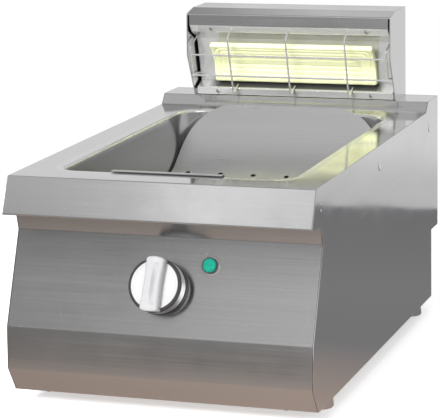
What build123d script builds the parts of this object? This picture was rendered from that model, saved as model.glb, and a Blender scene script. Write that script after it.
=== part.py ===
from build123d import *
from math import asin, atan2, cos, degrees, hypot, pi, radians, sin, tan
import os

os.makedirs("parts", exist_ok=True)

# Counter-top chip warmer: a folded sheet-steel cabinet with a pressed well, a
# curved perforated false bottom that lifts out, and a heat head behind the well
# with one ceramic element.  Millimetres.  +Z is up and the front faces -Y.
# Section points are given as (y, z) from the worktop's front edge and the
# lower edge of the panels; at() and spot() carry them to the model's frame.

# ---- driving dimensions -------------------------------------------------------
sheet = 1.2                  # cabinet sheet
thin_sheet = 0.8             # reflector and small brackets
bend = 2.0                   # outside radius of a folded corner
panel_gap = 0.3              # open joint round the front panel
seat_gap = 0.3               # between a moving piece and what it rests on

body_width = 400.0
body_back = 589.0            # back of the side panels' lower part
duct_back = 628.0            # outer face of the rear cover
duct_floor = 99.0            # underside of the rear cover
worktop_z = 275.5
apron_nose = 22.0            # how far the apron leans out
apron_drop = 46.0
recess_top = (18.5, 226.5)   # corner under the apron
return_length = 14.0         # flanges that meet above the recess
recess_foot = (25.5, 202.2)
face_foot = (-21.6, 87.4)    # lower edge of the control face
skirt_foot = (-23.9, 33.3)
toe = (-2.4, 0.0)            # lower edge of the front panel

upstand_foot = 556.7
upstand_run = 12.5
upstand_rise = 14.2

well_width = 304.0
well_front = 50.5
well_back = 527.5
well_depth = 150.0
well_draft = 3.0             # each wall leans in by this much at the floor
well_roll = 4.5              # rolled edge round the mouth
well_front_corner = 24.0
well_rear_corner = 40.0
well_floor_radius = 22.0
well_flange = 12.5           # flat flange beyond the wall

insert_sheet = 1.0
insert_width = 295.0
insert_top = (523.0, 283.5)
insert_radius = 127.0        # curve from the back down to the floor
insert_lean = 76.0           # slope of the top edge, degrees
insert_corner = 72.0
insert_front = 58.0
insert_front_corner = 26.0
hole_radius = 3.5
hole_pitch = 49.0
hole_columns = 6
floor_rows = 7
row_pitch = 42.0
curve_row_slopes = (22.2, 3.5)
lip_width = 146.0            # lift-out lip over the front rim
lip_middle = -7.0            # its middle, from the middle of the body
lip_front = 45.5
lip_gap = 1.4

head_width = 305.0
head_back = duct_back
head_rise = 128.8            # above the upstand's top
head_sheet = 1.5
cheek_foot = 570.0
cheek_waist = (539.0, 352.0)
cheek_brow = (541.0, 409.0)
hood_slope_back = 570.0
hood_slope_front = (541.8, 412.4)
hood_skirt = 16.0
hood_flange = 11.0
lip_pitch = 49.0             # slope of the reflector's upper lip, degrees
lip_length = 12.5

reflector_width = 296.0
reflector_shoulder = (574.0, 374.0)
reflector_foot = (590.0, 309.0)
reflector_shelf = 571.0      # front edge of the shelf, and its height
reflector_shelf_z = 300.5
reflector_lip = 9.8

element_length = 245.0
element_chord = 60.0
element_radius = 60.0        # concave face
element_thick = 8.0
element_center = (563.8, 336.8)
element_tilt = 25.5          # chord from upright, degrees
element_groove = 1.3
boss_length = 42.0
boss_width = 15.0
boss_depth = 14.0
clip_sheet = 1.0
clip_bite = 1.5

wire_radius = 1.4
guard_top = (531.0, 378.8)
guard_foot = (554.2, 294.8)
guard_pitch = 87.0
guard_half = 146.5           # end bars
guard_rail_z = (352.5, 321.5)
guard_end = ((536.0, 364.5), (548.3, 324.0))
hook_seats = ((567.4, 375.6), (586.7, 319.8))

knob_height = 60.0           # up the control face from its lower edge
knob_radius = 34.0
knob_ring = 27.0             # front of the black rim, off the panel
knob_reach = 40.0            # front of the grip, off the panel
knob_clear = 0.8
grip_half = 33.5
grip_round = 2.0
shaft_radius = 3.0
shaft_fit = 0.05
lamp_offset = 60.0
lamp_height = 91.0
lamp_bezel_radius = 12.0
lamp_flange_radius = 10.2
lamp_lens_radius = 8.6
lamp_barrel = 7.9

foot_height = 20.5           # panels' lower edge above the table
foot_radius = 17.5
foot_top_radius = 15.5
foot_inset = 25.0            # foot axis from the side panel's outer face
foot_front = 89.0
foot_back = 556.0
stud_radius = 5.0
stud_length = 34.0
stud_fit = 0.05
stud_sink = 15.0
foot_round = 2.0
socket_radius = 8.5
socket_height = 9.0

screw_head_radius = 3.6
screw_head = 2.4
screw_shank = 2.0
screw_reach = 7.0
front_screw_head = 4.5
nut_height = 2.6

regulator_width = 44.0
regulator_depth = 32.0
bush_length = 5.0            # of the regulator's threaded bush, off the panel
shaft_depth = 8.0
shaft_reach = 22.0
tab_depth = 21.0
tab_length = 8.0
tab_width = 6.0
tab_thick = 0.8
tab_pitch = 12.0
skirt_height = 6.5
knob_taper = 3.0
disc_radius = 31.0
disc_sink = 3.0
disc_raise = 1.0
grip_end = 10.5              # half width of the grip at its ends and waist
grip_waist = 7.5
grip_crown = 0.6
lamp_rise = 2.4
barrel_length = 16.0
block_pitch = 14.0
block_depth = 20.0
block_height = 16.0
grommet_lip = 2.0
gland_tail = 8.0
gland_hex = 7.0
gland_radius = 9.5
gland_thread = 7.0
gland_bore = 4.5
gland_length = 20.0
gland_x = 120.0
gland_z = 52.0
earth_radius = 3.0
earth_shoulder = 0.3         # its plain part, in the panel and the nut, is this much stouter
earth_length = 13.0
lead_radius = 1.8

# ---- derived places -----------------------------------------------------------
half_width = body_width / 2
inner_half = half_width - sheet
foot_x = half_width - foot_inset
upstand_z = worktop_z + upstand_rise
head_z = upstand_z + head_rise
head_half = head_width / 2
cheek_inner = head_half - head_sheet
face_lean = atan2(recess_foot[0] - face_foot[0], recess_foot[1] - face_foot[1])
knob_y = face_foot[0] + knob_height * sin(face_lean)
front_reach = knob_y - cos(face_lean) * (knob_reach - grip_round)
front_reach -= sin(face_lean) * (grip_half + grip_crown - grip_round) + grip_round
back_reach = duct_back + screw_head
edge_y = -(front_reach + back_reach) / 2


def at(y, z):
    return (y + edge_y, z + foot_height)


def spot(x, y, z):
    return (x, y + edge_y, z + foot_height)


def along(start, angle, distance):
    return (start[0] + distance * cos(angle), start[1] + distance * sin(angle))


def folded(points, radius, thickness, side=Side.LEFT):
    """Section of a folded sheet: outer face through the points."""
    with BuildSketch() as section:
        with BuildLine():
            FilletPolyline(*[at(*point) for point in points], radius=radius)
            offset(amount=thickness, side=side)
        make_face()
    return section.sketch


def outline(points, radius=0.0):
    """Closed (y, z) outline of a flat plate."""
    with BuildSketch() as section:
        with BuildLine():
            FilletPolyline(*[at(*point) for point in points], radius=radius, close=True)
        make_face()
    return section.sketch


def pan_screw(place, shank_length, head_radius=screw_head_radius):
    """Domed screw whose head stands on the place and whose shank goes in."""
    with BuildPart(place) as screw:
        Cylinder(head_radius, screw_head, align=(Align.CENTER, Align.CENTER, Align.MIN))
        crown = screw.faces().sort_by(Axis(place.origin, place.z_dir))[-1]
        fillet(crown.edges(), radius=screw_head * 0.6)
        Cylinder(screw_shank, shank_length, align=(Align.CENTER, Align.CENTER, Align.MAX))
    return screw.part


def bars(places, radius, reach):
    """Round bars through the places, as far to each side as the reach."""
    with BuildPart(*places) as group:
        Cylinder(radius, 2 * reach)
    return group.part


def lead(points, bends):
    """Insulated wire along the points, with a radius at each corner."""
    with BuildPart() as wire:
        with BuildLine():
            route = FilletPolyline(*[spot(*point) for point in points], radius=bends)
        with BuildSketch(Plane(origin=route @ 0, z_dir=route % 0)):
            Circle(lead_radius)
        sweep(path=route)
    return wire.part


def finish(piece, name):
    piece.label = name
    export_step(piece, f"parts/{name}.step")


face_out = Vector(0, -cos(face_lean), sin(face_lean))


def face_plane(x, height, off=0.0):
    """Plane on the control face, off the panel by a distance, facing out."""
    y = face_foot[0] + height * sin(face_lean) - off * cos(face_lean)
    z = face_foot[1] + height * cos(face_lean) + off * sin(face_lean)
    return Plane(origin=spot(x, y, z), x_dir=(1, 0, 0), z_dir=face_out)


def to_front(x, z, y):
    """Plane at a place on the front or a rib's front, facing -Y."""
    return Plane(origin=spot(x, y, z), x_dir=(1, 0, 0), z_dir=(0, -1, 0))


def to_back(x, z, y):
    """Plane at a place on the back, facing +Y."""
    return Plane(origin=spot(x, y, z), x_dir=(-1, 0, 0), z_dir=(0, 1, 0))


# ---- cabinet ------------------------------------------------------------------
side_points = [
    (0.0, worktop_z), (-apron_nose, worktop_z - apron_drop), recess_top, recess_foot,
    face_foot, skirt_foot, toe, (body_back, 0.0), (body_back, duct_floor),
    (duct_back, duct_floor), (duct_back, upstand_z),
    (upstand_foot + upstand_run, upstand_z), (upstand_foot, worktop_z),
]
flange = 14.0
back_screw_z = (30.0, 80.0, worktop_z - 35.5)
back_screw_x = inner_half - flange / 2
back_screw_places = [to_back(side * back_screw_x, z, body_back) for side in (-1, 1) for z in back_screw_z]
with BuildPart() as side_panel_left:
    with BuildSketch(Plane.YZ.offset(-half_width)):
        add(outline(side_points))
    extrude(amount=sheet)
    # flanges that carry the worktop and the back panel
    with BuildSketch(Plane.XY.offset(worktop_z - sheet + foot_height)):
        with Locations((-inner_half + flange / 2, edge_y + body_back / 2)):
            Rectangle(flange, body_back - 6 * flange)
    extrude(amount=-sheet)
    with BuildSketch(to_back(0, 0, body_back - 2 * sheet)):
        with Locations((inner_half - flange / 2, worktop_z / 2)):
            Rectangle(flange, worktop_z - 3 * flange)
    extrude(amount=sheet)
    add(bars(back_screw_places[:3], screw_shank, 4 * sheet), mode=Mode.SUBTRACT)
finish(side_panel_left.part, "side_panel_left")

with BuildPart() as side_panel_right:
    add(mirror(side_panel_left.part, about=Plane.YZ))
finish(side_panel_right.part, "side_panel_right")

# The front panel is one folded sheet between the side panels.  Its top flange
# lies under the apron's return and the base tray stands on its bottom flange.
front_return = 24.0
front_half = inner_half - panel_gap
return_lean = atan2(recess_top[1] - worktop_z + apron_drop, recess_top[0] + apron_nose)
return_end = along(recess_top, return_lean, return_length)
bush_radius = 5.0
bush_clear = 0.1
front_screw_x = half_width - 43.0
front_screw_y = toe[0] + 7.0
front_screw_places = [
    Plane(origin=spot(side * front_screw_x, front_screw_y, 0), z_dir=(0, 0, -1)) for side in (-1, 1)]
front_points = [
    return_end, recess_top, recess_foot, face_foot, skirt_foot, toe, (toe[0] + front_return, toe[1]),
]
with BuildPart() as front_panel:
    with BuildSketch(Plane.YZ):
        add(folded(front_points, bend, sheet))
    extrude(amount=front_half, both=True)
    add(bars([face_plane(0, knob_height)], bush_radius + bush_clear, 2 * sheet), mode=Mode.SUBTRACT)
    add(bars([face_plane(lamp_offset, lamp_height)], lamp_barrel + bush_clear, 2 * sheet), mode=Mode.SUBTRACT)
    add(bars(front_screw_places, screw_shank, 2 * sheet), mode=Mode.SUBTRACT)
finish(front_panel.part, "front_panel")

# Base tray, turned up at both sides, resting on the front panel's flange.
base_front = toe[0] + 3.0
base_back = body_back - sheet
base_turn = 16.0
vent_length = 32.0
vent_width = 5.0
feet = [(x, y) for x in (-foot_x, foot_x) for y in (foot_front, foot_back)]
with BuildPart() as base_tray:
    with BuildSketch(to_front(0, 0, base_back)):
        with BuildLine():
            FilletPolyline(
                (-inner_half, sheet + base_turn), (-inner_half, sheet),
                (inner_half, sheet), (inner_half, sheet + base_turn), radius=bend)
            offset(amount=sheet, side=Side.LEFT)
        make_face()
    extrude(amount=base_back - base_front)
    with BuildSketch(Plane.XY.offset(foot_height)):
        with Locations(*[spot(x, y, 0)[:2] for x, y in feet]):
            Circle(stud_radius + 0.6)
        with Locations((0, edge_y + body_back / 2)):
            with GridLocations(1.4 * vent_length, 5 * vent_width, 5, 4):
                SlotOverall(vent_length, vent_width)
    extrude(amount=3 * sheet, mode=Mode.SUBTRACT)
    add(bars(front_screw_places, screw_shank, 4 * sheet), mode=Mode.SUBTRACT)
finish(base_tray.part, "base_tray")

# Flat back between the side panels, up to the underside of the upstand.
back_top = upstand_z - sheet
pass_z = 190.0
duct_x = -95.0
duct_y = (body_back + duct_back) / 2
conduit_radius = 5.0
cover_flange = 15.0
cover_screw_x = half_width - 50.0
low_screw_places = [
    to_back(x, duct_floor - cover_flange / 2, body_back + sheet) for x in (-cover_screw_x, cover_screw_x)]
high_screw_places = [
    to_back(x, upstand_z - cover_flange / 2, duct_back) for x in (-cover_screw_x, 0, cover_screw_x)]
gland_place = to_back(gland_x, gland_z, body_back)
earth_place = to_back(-gland_x, gland_z, body_back)
with BuildPart() as back_panel:
    with BuildSketch(to_back(0, back_top / 2, body_back - sheet)):
        Rectangle(2 * inner_half, back_top)
    extrude(amount=sheet)
    add(bars([to_back(duct_x, pass_z, body_back)], conduit_radius + 1.0, 4 * sheet), mode=Mode.SUBTRACT)
    add(bars([gland_place], gland_thread + bush_clear, 4 * sheet), mode=Mode.SUBTRACT)
    add(bars([earth_place], earth_radius + earth_shoulder, 4 * sheet), mode=Mode.SUBTRACT)
    add(bars(back_screw_places + low_screw_places, screw_shank, 4 * sheet), mode=Mode.SUBTRACT)
finish(back_panel.part, "back_panel")

with BuildPart() as rear_cover:
    with BuildSketch(Plane.YZ):
        add(folded([(body_back + sheet, duct_floor - cover_flange), (body_back + sheet, duct_floor),
                    (duct_back, duct_floor), (duct_back, upstand_z)], bend, sheet))
    extrude(amount=front_half, both=True)
    add(bars(low_screw_places + high_screw_places, screw_shank, 2 * sheet), mode=Mode.SUBTRACT)
finish(rear_cover.part, "rear_cover")

# Worktop, apron and upstand in one sheet.  The well's flange fills the opening.
well_length = well_back - well_front
well_middle = edge_y + (well_front + well_back) / 2
worktop_points = [
    (duct_back - sheet, upstand_z - cover_flange), (duct_back - sheet, upstand_z),
    (upstand_foot + upstand_run, upstand_z), (upstand_foot, worktop_z), (0.0, worktop_z),
    (-apron_nose, worktop_z - apron_drop), return_end,
]
duct_place = Plane(origin=spot(duct_x, duct_y, upstand_z))
grommet_neck = conduit_radius + 2.5


def mouth(grow):
    """Outline of the well's mouth, grown evenly, with its own corner radii."""
    with BuildSketch() as shape:
        with Locations((0, well_middle)):
            Rectangle(well_width + 2 * grow, well_length + 2 * grow)
        corners = shape.vertices().sort_by(Axis.Y)
        fillet(corners[:2], radius=well_front_corner + grow)
        fillet(shape.vertices().sort_by(Axis.Y)[-2:], radius=well_rear_corner + grow)
    return shape.sketch


with BuildPart() as worktop:
    with BuildSketch(Plane.YZ):
        add(folded(worktop_points, [bend, bend, 2 * bend, bend, bend], sheet))
    extrude(amount=inner_half, both=True)
    with BuildSketch(Plane.XY.offset(worktop_z + foot_height)):
        add(mouth(well_flange))
    extrude(amount=-3 * sheet, mode=Mode.SUBTRACT)
    add(bars([duct_place], grommet_neck + bush_clear, 2 * sheet), mode=Mode.SUBTRACT)
    add(bars(high_screw_places, screw_shank, 4 * sheet), mode=Mode.SUBTRACT)
finish(worktop.part, "worktop")


def basin(grow):
    """Solid form of the well, grown evenly: outside at one sheet, inside at none."""
    top = worktop_z + foot_height
    depth = well_depth + grow
    with BuildPart() as form:
        with BuildSketch(Plane.XY.offset(top)):
            add(mouth(grow))
        with BuildSketch(Plane.XY.offset(top - depth)):
            add(mouth(grow - well_draft))
        loft()
        fillet(form.faces().sort_by(Axis.Z)[0].edges(), radius=well_floor_radius + grow)
    return form.part


with BuildPart() as well:
    with BuildSketch(Plane.XY.offset(worktop_z + foot_height)):
        add(mouth(well_flange))
    extrude(amount=-sheet)
    add(basin(sheet))
    under = well.faces().filter_by(lambda f: abs(f.center().Z - worktop_z - foot_height + sheet) < 0.01)
    fillet(under.sort_by(SortBy.AREA)[-1].inner_wires()[0].edges(), radius=well_roll - sheet)
    add(basin(0.0), mode=Mode.SUBTRACT)
    rim = well.faces().sort_by(Axis.Z)[-1]
    fillet(rim.inner_wires()[0].edges(), radius=well_roll)
finish(well.part, "well")

# ---- lift-out false bottom ----------------------------------------------------
lean = radians(insert_lean)
curve_middle = (insert_top[0] - insert_radius * sin(lean), insert_top[1] + insert_radius * cos(lean))
floor_z = curve_middle[1] - insert_radius
insert_half = insert_width / 2
leg_foot = worktop_z - well_depth + seat_gap
lip_z = worktop_z + lip_gap
leg_width = 50.0
leg_spread = insert_width - 1.8 * leg_width
leg_run = curve_middle[0] - insert_front - 1.2 * leg_width
with BuildPart() as false_bottom:
    with BuildSketch(Plane.YZ) as section:
        with BuildLine():
            curve = JernArc(
                start=at(*insert_top), tangent=(-cos(lean), -sin(lean)),
                radius=insert_radius, arc_size=-insert_lean)
            Line(curve @ 1, at(insert_front, floor_z))
            offset(amount=insert_sheet, side=Side.LEFT)
        make_face()
    extrude(amount=insert_half, both=True)
    with BuildSketch(Plane.XZ.offset(-edge_y - insert_top[0] - 30)):
        for side in (-1, 1):
            with Locations((side * insert_half, insert_top[1] + foot_height)):
                Rectangle(2 * insert_corner, 2 * insert_corner)
            with Locations((side * (insert_half - insert_corner), insert_top[1] - insert_corner + foot_height)):
                Circle(insert_corner, mode=Mode.SUBTRACT)
        with Locations((0, insert_top[1] + foot_height - insert_corner)):
            Rectangle(2 * (insert_half - insert_corner), 6 * insert_corner, mode=Mode.SUBTRACT)
        with Locations((0, insert_top[1] + foot_height - 2 * insert_corner)):
            Rectangle(3 * insert_half, 2 * insert_corner, mode=Mode.SUBTRACT)
    extrude(amount=insert_corner + 40, mode=Mode.SUBTRACT)
    front_edges = false_bottom.edges().filter_by(Axis.Z).sort_by(Axis.Y)[:2]
    fillet(front_edges, radius=insert_front_corner)
    # lip over the front rim, to lift it by
    with BuildSketch(Plane.YZ.offset(lip_middle)):
        add(folded([(insert_front + 20, floor_z - insert_sheet), (well_front + 3.6, floor_z - insert_sheet),
                    (well_front + 3.6, lip_z), (lip_front, lip_z)], bend, insert_sheet, Side.RIGHT))
    extrude(amount=lip_width / 2, both=True)
    # four legs folded down from the floor
    with BuildSketch(Plane.XY.offset(floor_z - insert_sheet / 2 + foot_height)):
        with Locations((0, edge_y + (curve_middle[0] + insert_front) / 2)):
            with GridLocations(leg_spread, leg_run, 2, 2):
                Rectangle(leg_width, insert_sheet)
    extrude(amount=-(floor_z - insert_sheet / 2 - leg_foot))
    # perforation: rows across the floor, then up the curve
    with BuildSketch(Plane.XY.offset(floor_z + foot_height)):
        with Locations((0, edge_y + (curve_middle[0] + insert_front) / 2 + 4)):
            with GridLocations(hole_pitch, row_pitch, hole_columns, floor_rows):
                Circle(hole_radius)
    extrude(amount=2 * insert_sheet, both=True, mode=Mode.SUBTRACT)
    for slope in curve_row_slopes:
        tilt = radians(slope)
        row_y = curve_middle[0] + insert_radius * sin(tilt)
        row_z = curve_middle[1] - insert_radius * cos(tilt)
        row_plane = Plane(origin=spot(0, row_y, row_z), x_dir=(1, 0, 0), z_dir=(0, -sin(tilt), cos(tilt)))
        with BuildSketch(row_plane):
            with GridLocations(hole_pitch, 1, hole_columns, 1):
                Circle(hole_radius)
        extrude(amount=2 * insert_sheet, both=True, mode=Mode.SUBTRACT)
finish(false_bottom.part, "false_bottom")

# ---- head ---------------------------------------------------------------------
skirt_y = hood_slope_front[0]
skirt_z = hood_slope_front[1] - hood_skirt
lip_angle = radians(-lip_pitch)
lip_out = (-sin(radians(lip_pitch)), -cos(radians(lip_pitch)))
lip_start = along((skirt_y, skirt_z), lip_angle, 2.0)
lip_start = (lip_start[0] + lip_out[0] * thin_sheet, lip_start[1] + lip_out[1] * thin_sheet)
lip_end = along(lip_start, lip_angle, lip_length)
lip_edge = (reflector_shelf, reflector_shelf_z)
reflector_points = [
    lip_start, lip_end, reflector_shoulder, reflector_foot, lip_edge,
    (reflector_shelf, reflector_shelf_z - reflector_lip)]


def lip_plane(x, distance):
    """Plane on the upper lip, some way down from its front edge, facing out."""
    y, z = along(lip_start, lip_angle, distance)
    return Plane(origin=spot(x, y, z), x_dir=(1, 0, 0), z_dir=(0, *lip_out))


bolt_x = 116.0
low_bolt_z = upstand_z + 5.8
high_bolts = [lip_plane(side * bolt_x, 0.42 * lip_length) for side in (-1, 1)]
low_bolts = [to_front(side * bolt_x, low_bolt_z, reflector_shelf) for side in (-1, 1)]
hood_screw_places = [to_back(x, upstand_z + 8.0, head_back) for x in (-bolt_x, 0, bolt_x)]
wire_x = (-guard_pitch, 0.0, guard_pitch)
wire_hole = wire_radius + 0.1
wire_seats = [lip_plane(x, 0.55 * lip_length) for x in wire_x]

# Floor of the head, turned up at the front and the back, on the upstand.
head_floor = [
    (head_back - sheet, upstand_z + flange), (head_back - sheet, upstand_z),
    (reflector_shelf + thin_sheet, upstand_z), (reflector_shelf + thin_sheet, upstand_z + 9.0)]
with BuildPart() as head_base:
    with BuildSketch(Plane.YZ):
        add(folded(head_floor, bend, sheet, Side.RIGHT))
    extrude(amount=cheek_inner, both=True)
    add(bars([duct_place], grommet_neck + bush_clear, 3 * sheet), mode=Mode.SUBTRACT)
    add(bars(low_bolts + hood_screw_places, screw_shank, 4 * sheet), mode=Mode.SUBTRACT)
finish(head_base.part, "head_base")

cheek_points = [
    (cheek_foot, upstand_z), cheek_waist, cheek_brow, hood_slope_front,
    (hood_slope_back, head_z), (head_back, head_z), (head_back, upstand_z)]
with BuildPart() as head_cheek_left:
    with BuildSketch(Plane.YZ.offset(-head_half)):
        add(outline(cheek_points))
    extrude(amount=head_sheet)
finish(head_cheek_left.part, "head_cheek_left")

with BuildPart() as head_cheek_right:
    add(mirror(head_cheek_left.part, about=Plane.YZ))
finish(head_cheek_right.part, "head_cheek_right")

# Hood: back, top, slope, skirt and the flange that carries the reflector.  The
# skirt is narrower than the slope, and its ends turn back.
skirt_half = cheek_inner - 2.5
hood_points = [
    (head_back, upstand_z + 1.0), (head_back, head_z), (hood_slope_back, head_z), hood_slope_front,
    (skirt_y, skirt_z), along((skirt_y, skirt_z), lip_angle, hood_flange)]
with BuildPart() as hood:
    with BuildSketch(Plane.YZ):
        add(folded(hood_points, bend, sheet))
    extrude(amount=cheek_inner, both=True)
    for side in (-1, 1):
        with BuildSketch(Plane.YZ.offset(side * skirt_half)):
            with Locations(at(skirt_y - 2.0, hood_slope_front[1] - bend)):
                Rectangle(hood_skirt, 2 * hood_skirt, align=(Align.MIN, Align.MAX))
        extrude(amount=side * (cheek_inner - skirt_half), mode=Mode.SUBTRACT)
        with BuildSketch(Plane.YZ.offset(side * skirt_half)):
            with Locations(at(skirt_y, skirt_z + bend)):
                Rectangle(hood_flange, hood_skirt - 2 * bend, align=(Align.MIN, Align.MIN))
        extrude(amount=-side * sheet)
    add(bars(high_bolts + hood_screw_places, screw_shank, 4 * sheet), mode=Mode.SUBTRACT)
    add(bars(wire_seats, wire_hole, 4 * sheet), mode=Mode.SUBTRACT)
finish(hood.part, "hood")

# Reflector: lip, slope, back and shelf, open at both ends.  The element stands
# off its back by a pad, and the element's boss passes through it.
back_lean = atan2(reflector_foot[0] - reflector_shoulder[0], reflector_shoulder[1] - reflector_foot[1])
tilt = radians(element_tilt)
arc_half = asin(element_chord / 2 / element_radius)
arc_middle = along(element_center, pi + tilt, element_radius * cos(arc_half))
element_back = along(arc_middle, tilt, element_radius + element_thick)
pad_depth = (reflector_shoulder[0] - element_back[0]) * cos(back_lean)
pad_depth += (reflector_shoulder[1] - element_back[1]) * sin(back_lean)
boss_foot = along(element_back, back_lean, pad_depth)
boss_plane = Plane(
    origin=spot(0, *boss_foot), x_dir=(1, 0, 0), z_dir=(0, cos(back_lean), sin(back_lean)))
with BuildPart() as reflector:
    with BuildSketch(Plane.YZ):
        add(folded(reflector_points, bend, thin_sheet))
    extrude(amount=reflector_width / 2, both=True)
    with BuildSketch(boss_plane):
        Rectangle(boss_length + 2 * bush_clear, boss_width + 2 * bush_clear)
    extrude(amount=2 * thin_sheet, both=True, mode=Mode.SUBTRACT)
    add(bars(high_bolts + low_bolts, screw_shank, 4 * thin_sheet), mode=Mode.SUBTRACT)
    add(bars(wire_seats, wire_hole, 3 * thin_sheet), mode=Mode.SUBTRACT)
finish(reflector.part, "reflector")

# Ceramic trough element: a curved slab with nested looped grooves on its hollow
# face, and behind it a pad and a boss held by a clip.
middle = at(*arc_middle)
groove_insets = (6.0, 13.0, 20.0)
groove_width = 2.2
front_plane = Plane(origin=spot(0, *element_center), x_dir=(1, 0, 0), z_dir=(0, -cos(tilt), -sin(tilt)))


def arc_band(inner, outer):
    """Part of a ring about the element's axis, as long as its chord."""
    with BuildSketch() as band:
        with BuildLine():
            near = CenterArc(middle, inner, degrees(tilt - arc_half), degrees(2 * arc_half))
            far = CenterArc(middle, outer, degrees(tilt - arc_half), degrees(2 * arc_half))
            Line(near @ 0, far @ 0)
            Line(near @ 1, far @ 1)
        make_face()
    return band.sketch


with BuildPart() as grooves:
    with BuildSketch(Plane.YZ):
        add(arc_band(element_radius - groove_width, element_radius + element_groove))
    extrude(amount=element_length / 2, both=True)
    with BuildSketch(front_plane):
        for inset in groove_insets:
            loop_length = element_length - 2 * inset
            loop_width = element_chord - 2 * inset
            RectangleRounded(loop_length, loop_width, loop_width / 3)
            RectangleRounded(
                loop_length - 2 * groove_width, loop_width - 2 * groove_width,
                loop_width / 3 - groove_width / 2, mode=Mode.SUBTRACT)
    extrude(amount=element_chord / 2, both=True, mode=Mode.INTERSECT)

with BuildPart() as ceramic_element:
    with BuildSketch(Plane.YZ) as slab:
        add(arc_band(element_radius, element_radius + element_thick))
        fillet(slab.vertices(), radius=element_thick / 4)
    extrude(amount=element_length / 2, both=True)
    ends = ceramic_element.faces().filter_by(Axis.X)
    fillet(ends.edges(), radius=element_thick / 5)
    add(grooves.part, mode=Mode.SUBTRACT)
    with BuildSketch(boss_plane.offset(-pad_depth - element_thick / 3)):
        RectangleRounded(boss_length + 10, boss_width + 8, 3)
    extrude(amount=pad_depth + element_thick / 3)
    with BuildSketch(boss_plane):
        Rectangle(boss_length, boss_width)
    extrude(amount=thin_sheet + boss_depth)
    with BuildSketch(boss_plane.offset(thin_sheet)):
        with GridLocations(0, boss_width, 1, 2):
            Rectangle(boss_length, 2 * clip_bite)
    extrude(amount=clip_sheet, mode=Mode.SUBTRACT)
finish(ceramic_element.part, "ceramic_element")

with BuildPart() as element_clip:
    with BuildSketch(boss_plane.offset(thin_sheet)):
        RectangleRounded(boss_length + boss_width, 2 * boss_width, 3)
        with Locations((boss_length / 2, 0)):
            Rectangle(
                boss_length + boss_width, boss_width - 2 * clip_bite,
                align=(Align.MAX, Align.CENTER), mode=Mode.SUBTRACT)
    extrude(amount=clip_sheet)
finish(element_clip.part, "element_clip")

# Wire guard: three hoops from lip to shelf, two rails and two end bars.
guard_lean = atan2(guard_foot[0] - guard_top[0], guard_top[1] - guard_foot[1])
rail_set = (2 * wire_radius - 0.4) / cos(guard_lean)
lip_seat = along(lip_start, lip_angle, 0.55 * lip_length)
shelf_lean = atan2(reflector_foot[1] - reflector_shelf_z, reflector_foot[0] - reflector_shelf)
shelf_reach = 6.5
shelf_end = (
    reflector_shelf + shelf_reach,
    reflector_shelf_z + shelf_reach * tan(shelf_lean) + (wire_radius + 0.1) / cos(shelf_lean))
wire_bend = 2.5


def bent_wire(x, points):
    """Wire in an upright plane, bent at each corner."""
    with BuildPart() as wire:
        with BuildLine():
            route = FilletPolyline(*[spot(x, *point) for point in points], radius=wire_bend)
        with BuildSketch(Plane(origin=route @ 0, z_dir=route % 0)):
            Circle(wire_radius)
        sweep(path=route)
    return wire.part


with BuildPart() as wire_guard:
    for x in wire_x:
        add(bent_wire(x, [lip_seat, guard_top, guard_foot, shelf_end]))
    for x in (-guard_half, guard_half):
        add(bent_wire(x, [hook_seats[0], guard_end[0], guard_end[1], hook_seats[1]]))
    for z in guard_rail_z:
        rail_y = guard_top[0] + (guard_top[1] - z) * tan(guard_lean) + rail_set
        with BuildSketch(Plane.YZ):
            with Locations(at(rail_y, z)):
                Circle(wire_radius)
        extrude(amount=guard_half + wire_radius, both=True)
finish(wire_guard.part, "wire_guard")


def screws(places, shank, head=screw_head_radius):
    """Group of like screws, one at each place."""
    with BuildPart() as group:
        for place in places:
            add(pan_screw(place, shank, head))
    return group.part


with BuildPart() as reflector_screws:
    add(screws(high_bolts + low_bolts, screw_reach))
finish(reflector_screws.part, "reflector_screws")
with BuildPart() as hood_screws:
    add(screws(hood_screw_places, screw_reach))
finish(hood_screws.part, "hood_screws")
with BuildPart() as rear_cover_screws:
    add(screws(low_screw_places + high_screw_places, screw_reach))
finish(rear_cover_screws.part, "rear_cover_screws")
with BuildPart() as back_panel_screws:
    add(screws(back_screw_places, screw_reach))
finish(back_panel_screws.part, "back_panel_screws")
with BuildPart() as front_panel_screws:
    add(screws(front_screw_places, screw_reach, front_screw_head))
finish(front_panel_screws.part, "front_panel_screws")

# ---- controls -----------------------------------------------------------------
hub = face_plane(0, knob_height)
back_of_panel = -sheet
with BuildPart() as energy_regulator:
    with BuildSketch(hub.offset(back_of_panel)):
        RectangleRounded(regulator_width, regulator_width, 3)
    extrude(amount=-regulator_depth)
    with BuildSketch(hub.offset(back_of_panel)):
        Circle(bush_radius)
    extrude(amount=sheet + bush_length)
    with BuildSketch(hub.offset(bush_length)):
        Circle(shaft_radius + shaft_fit)
    extrude(amount=-(bush_length + sheet + shaft_depth + seat_gap), mode=Mode.SUBTRACT)
    with BuildSketch(hub.offset(-tab_depth)):
        with Locations((0, -(regulator_width + tab_length) / 2)):
            with GridLocations(tab_pitch, 0, 3, 1):
                Rectangle(tab_width, tab_length)
    extrude(amount=tab_thick / 2, both=True)
finish(energy_regulator.part, "energy_regulator")

with BuildPart() as regulator_nut:
    with BuildSketch(hub):
        RegularPolygon(bush_radius + 3.0, 6, major_radius=False)
        Circle(bush_radius, mode=Mode.SUBTRACT)
    extrude(amount=nut_height)
finish(regulator_nut.part, "regulator_nut")

with BuildPart() as regulator_shaft:
    with BuildSketch(hub.offset(-sheet - shaft_depth)):
        Circle(shaft_radius)
    extrude(amount=sheet + shaft_depth + shaft_reach)
finish(regulator_shaft.part, "regulator_shaft")

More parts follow.
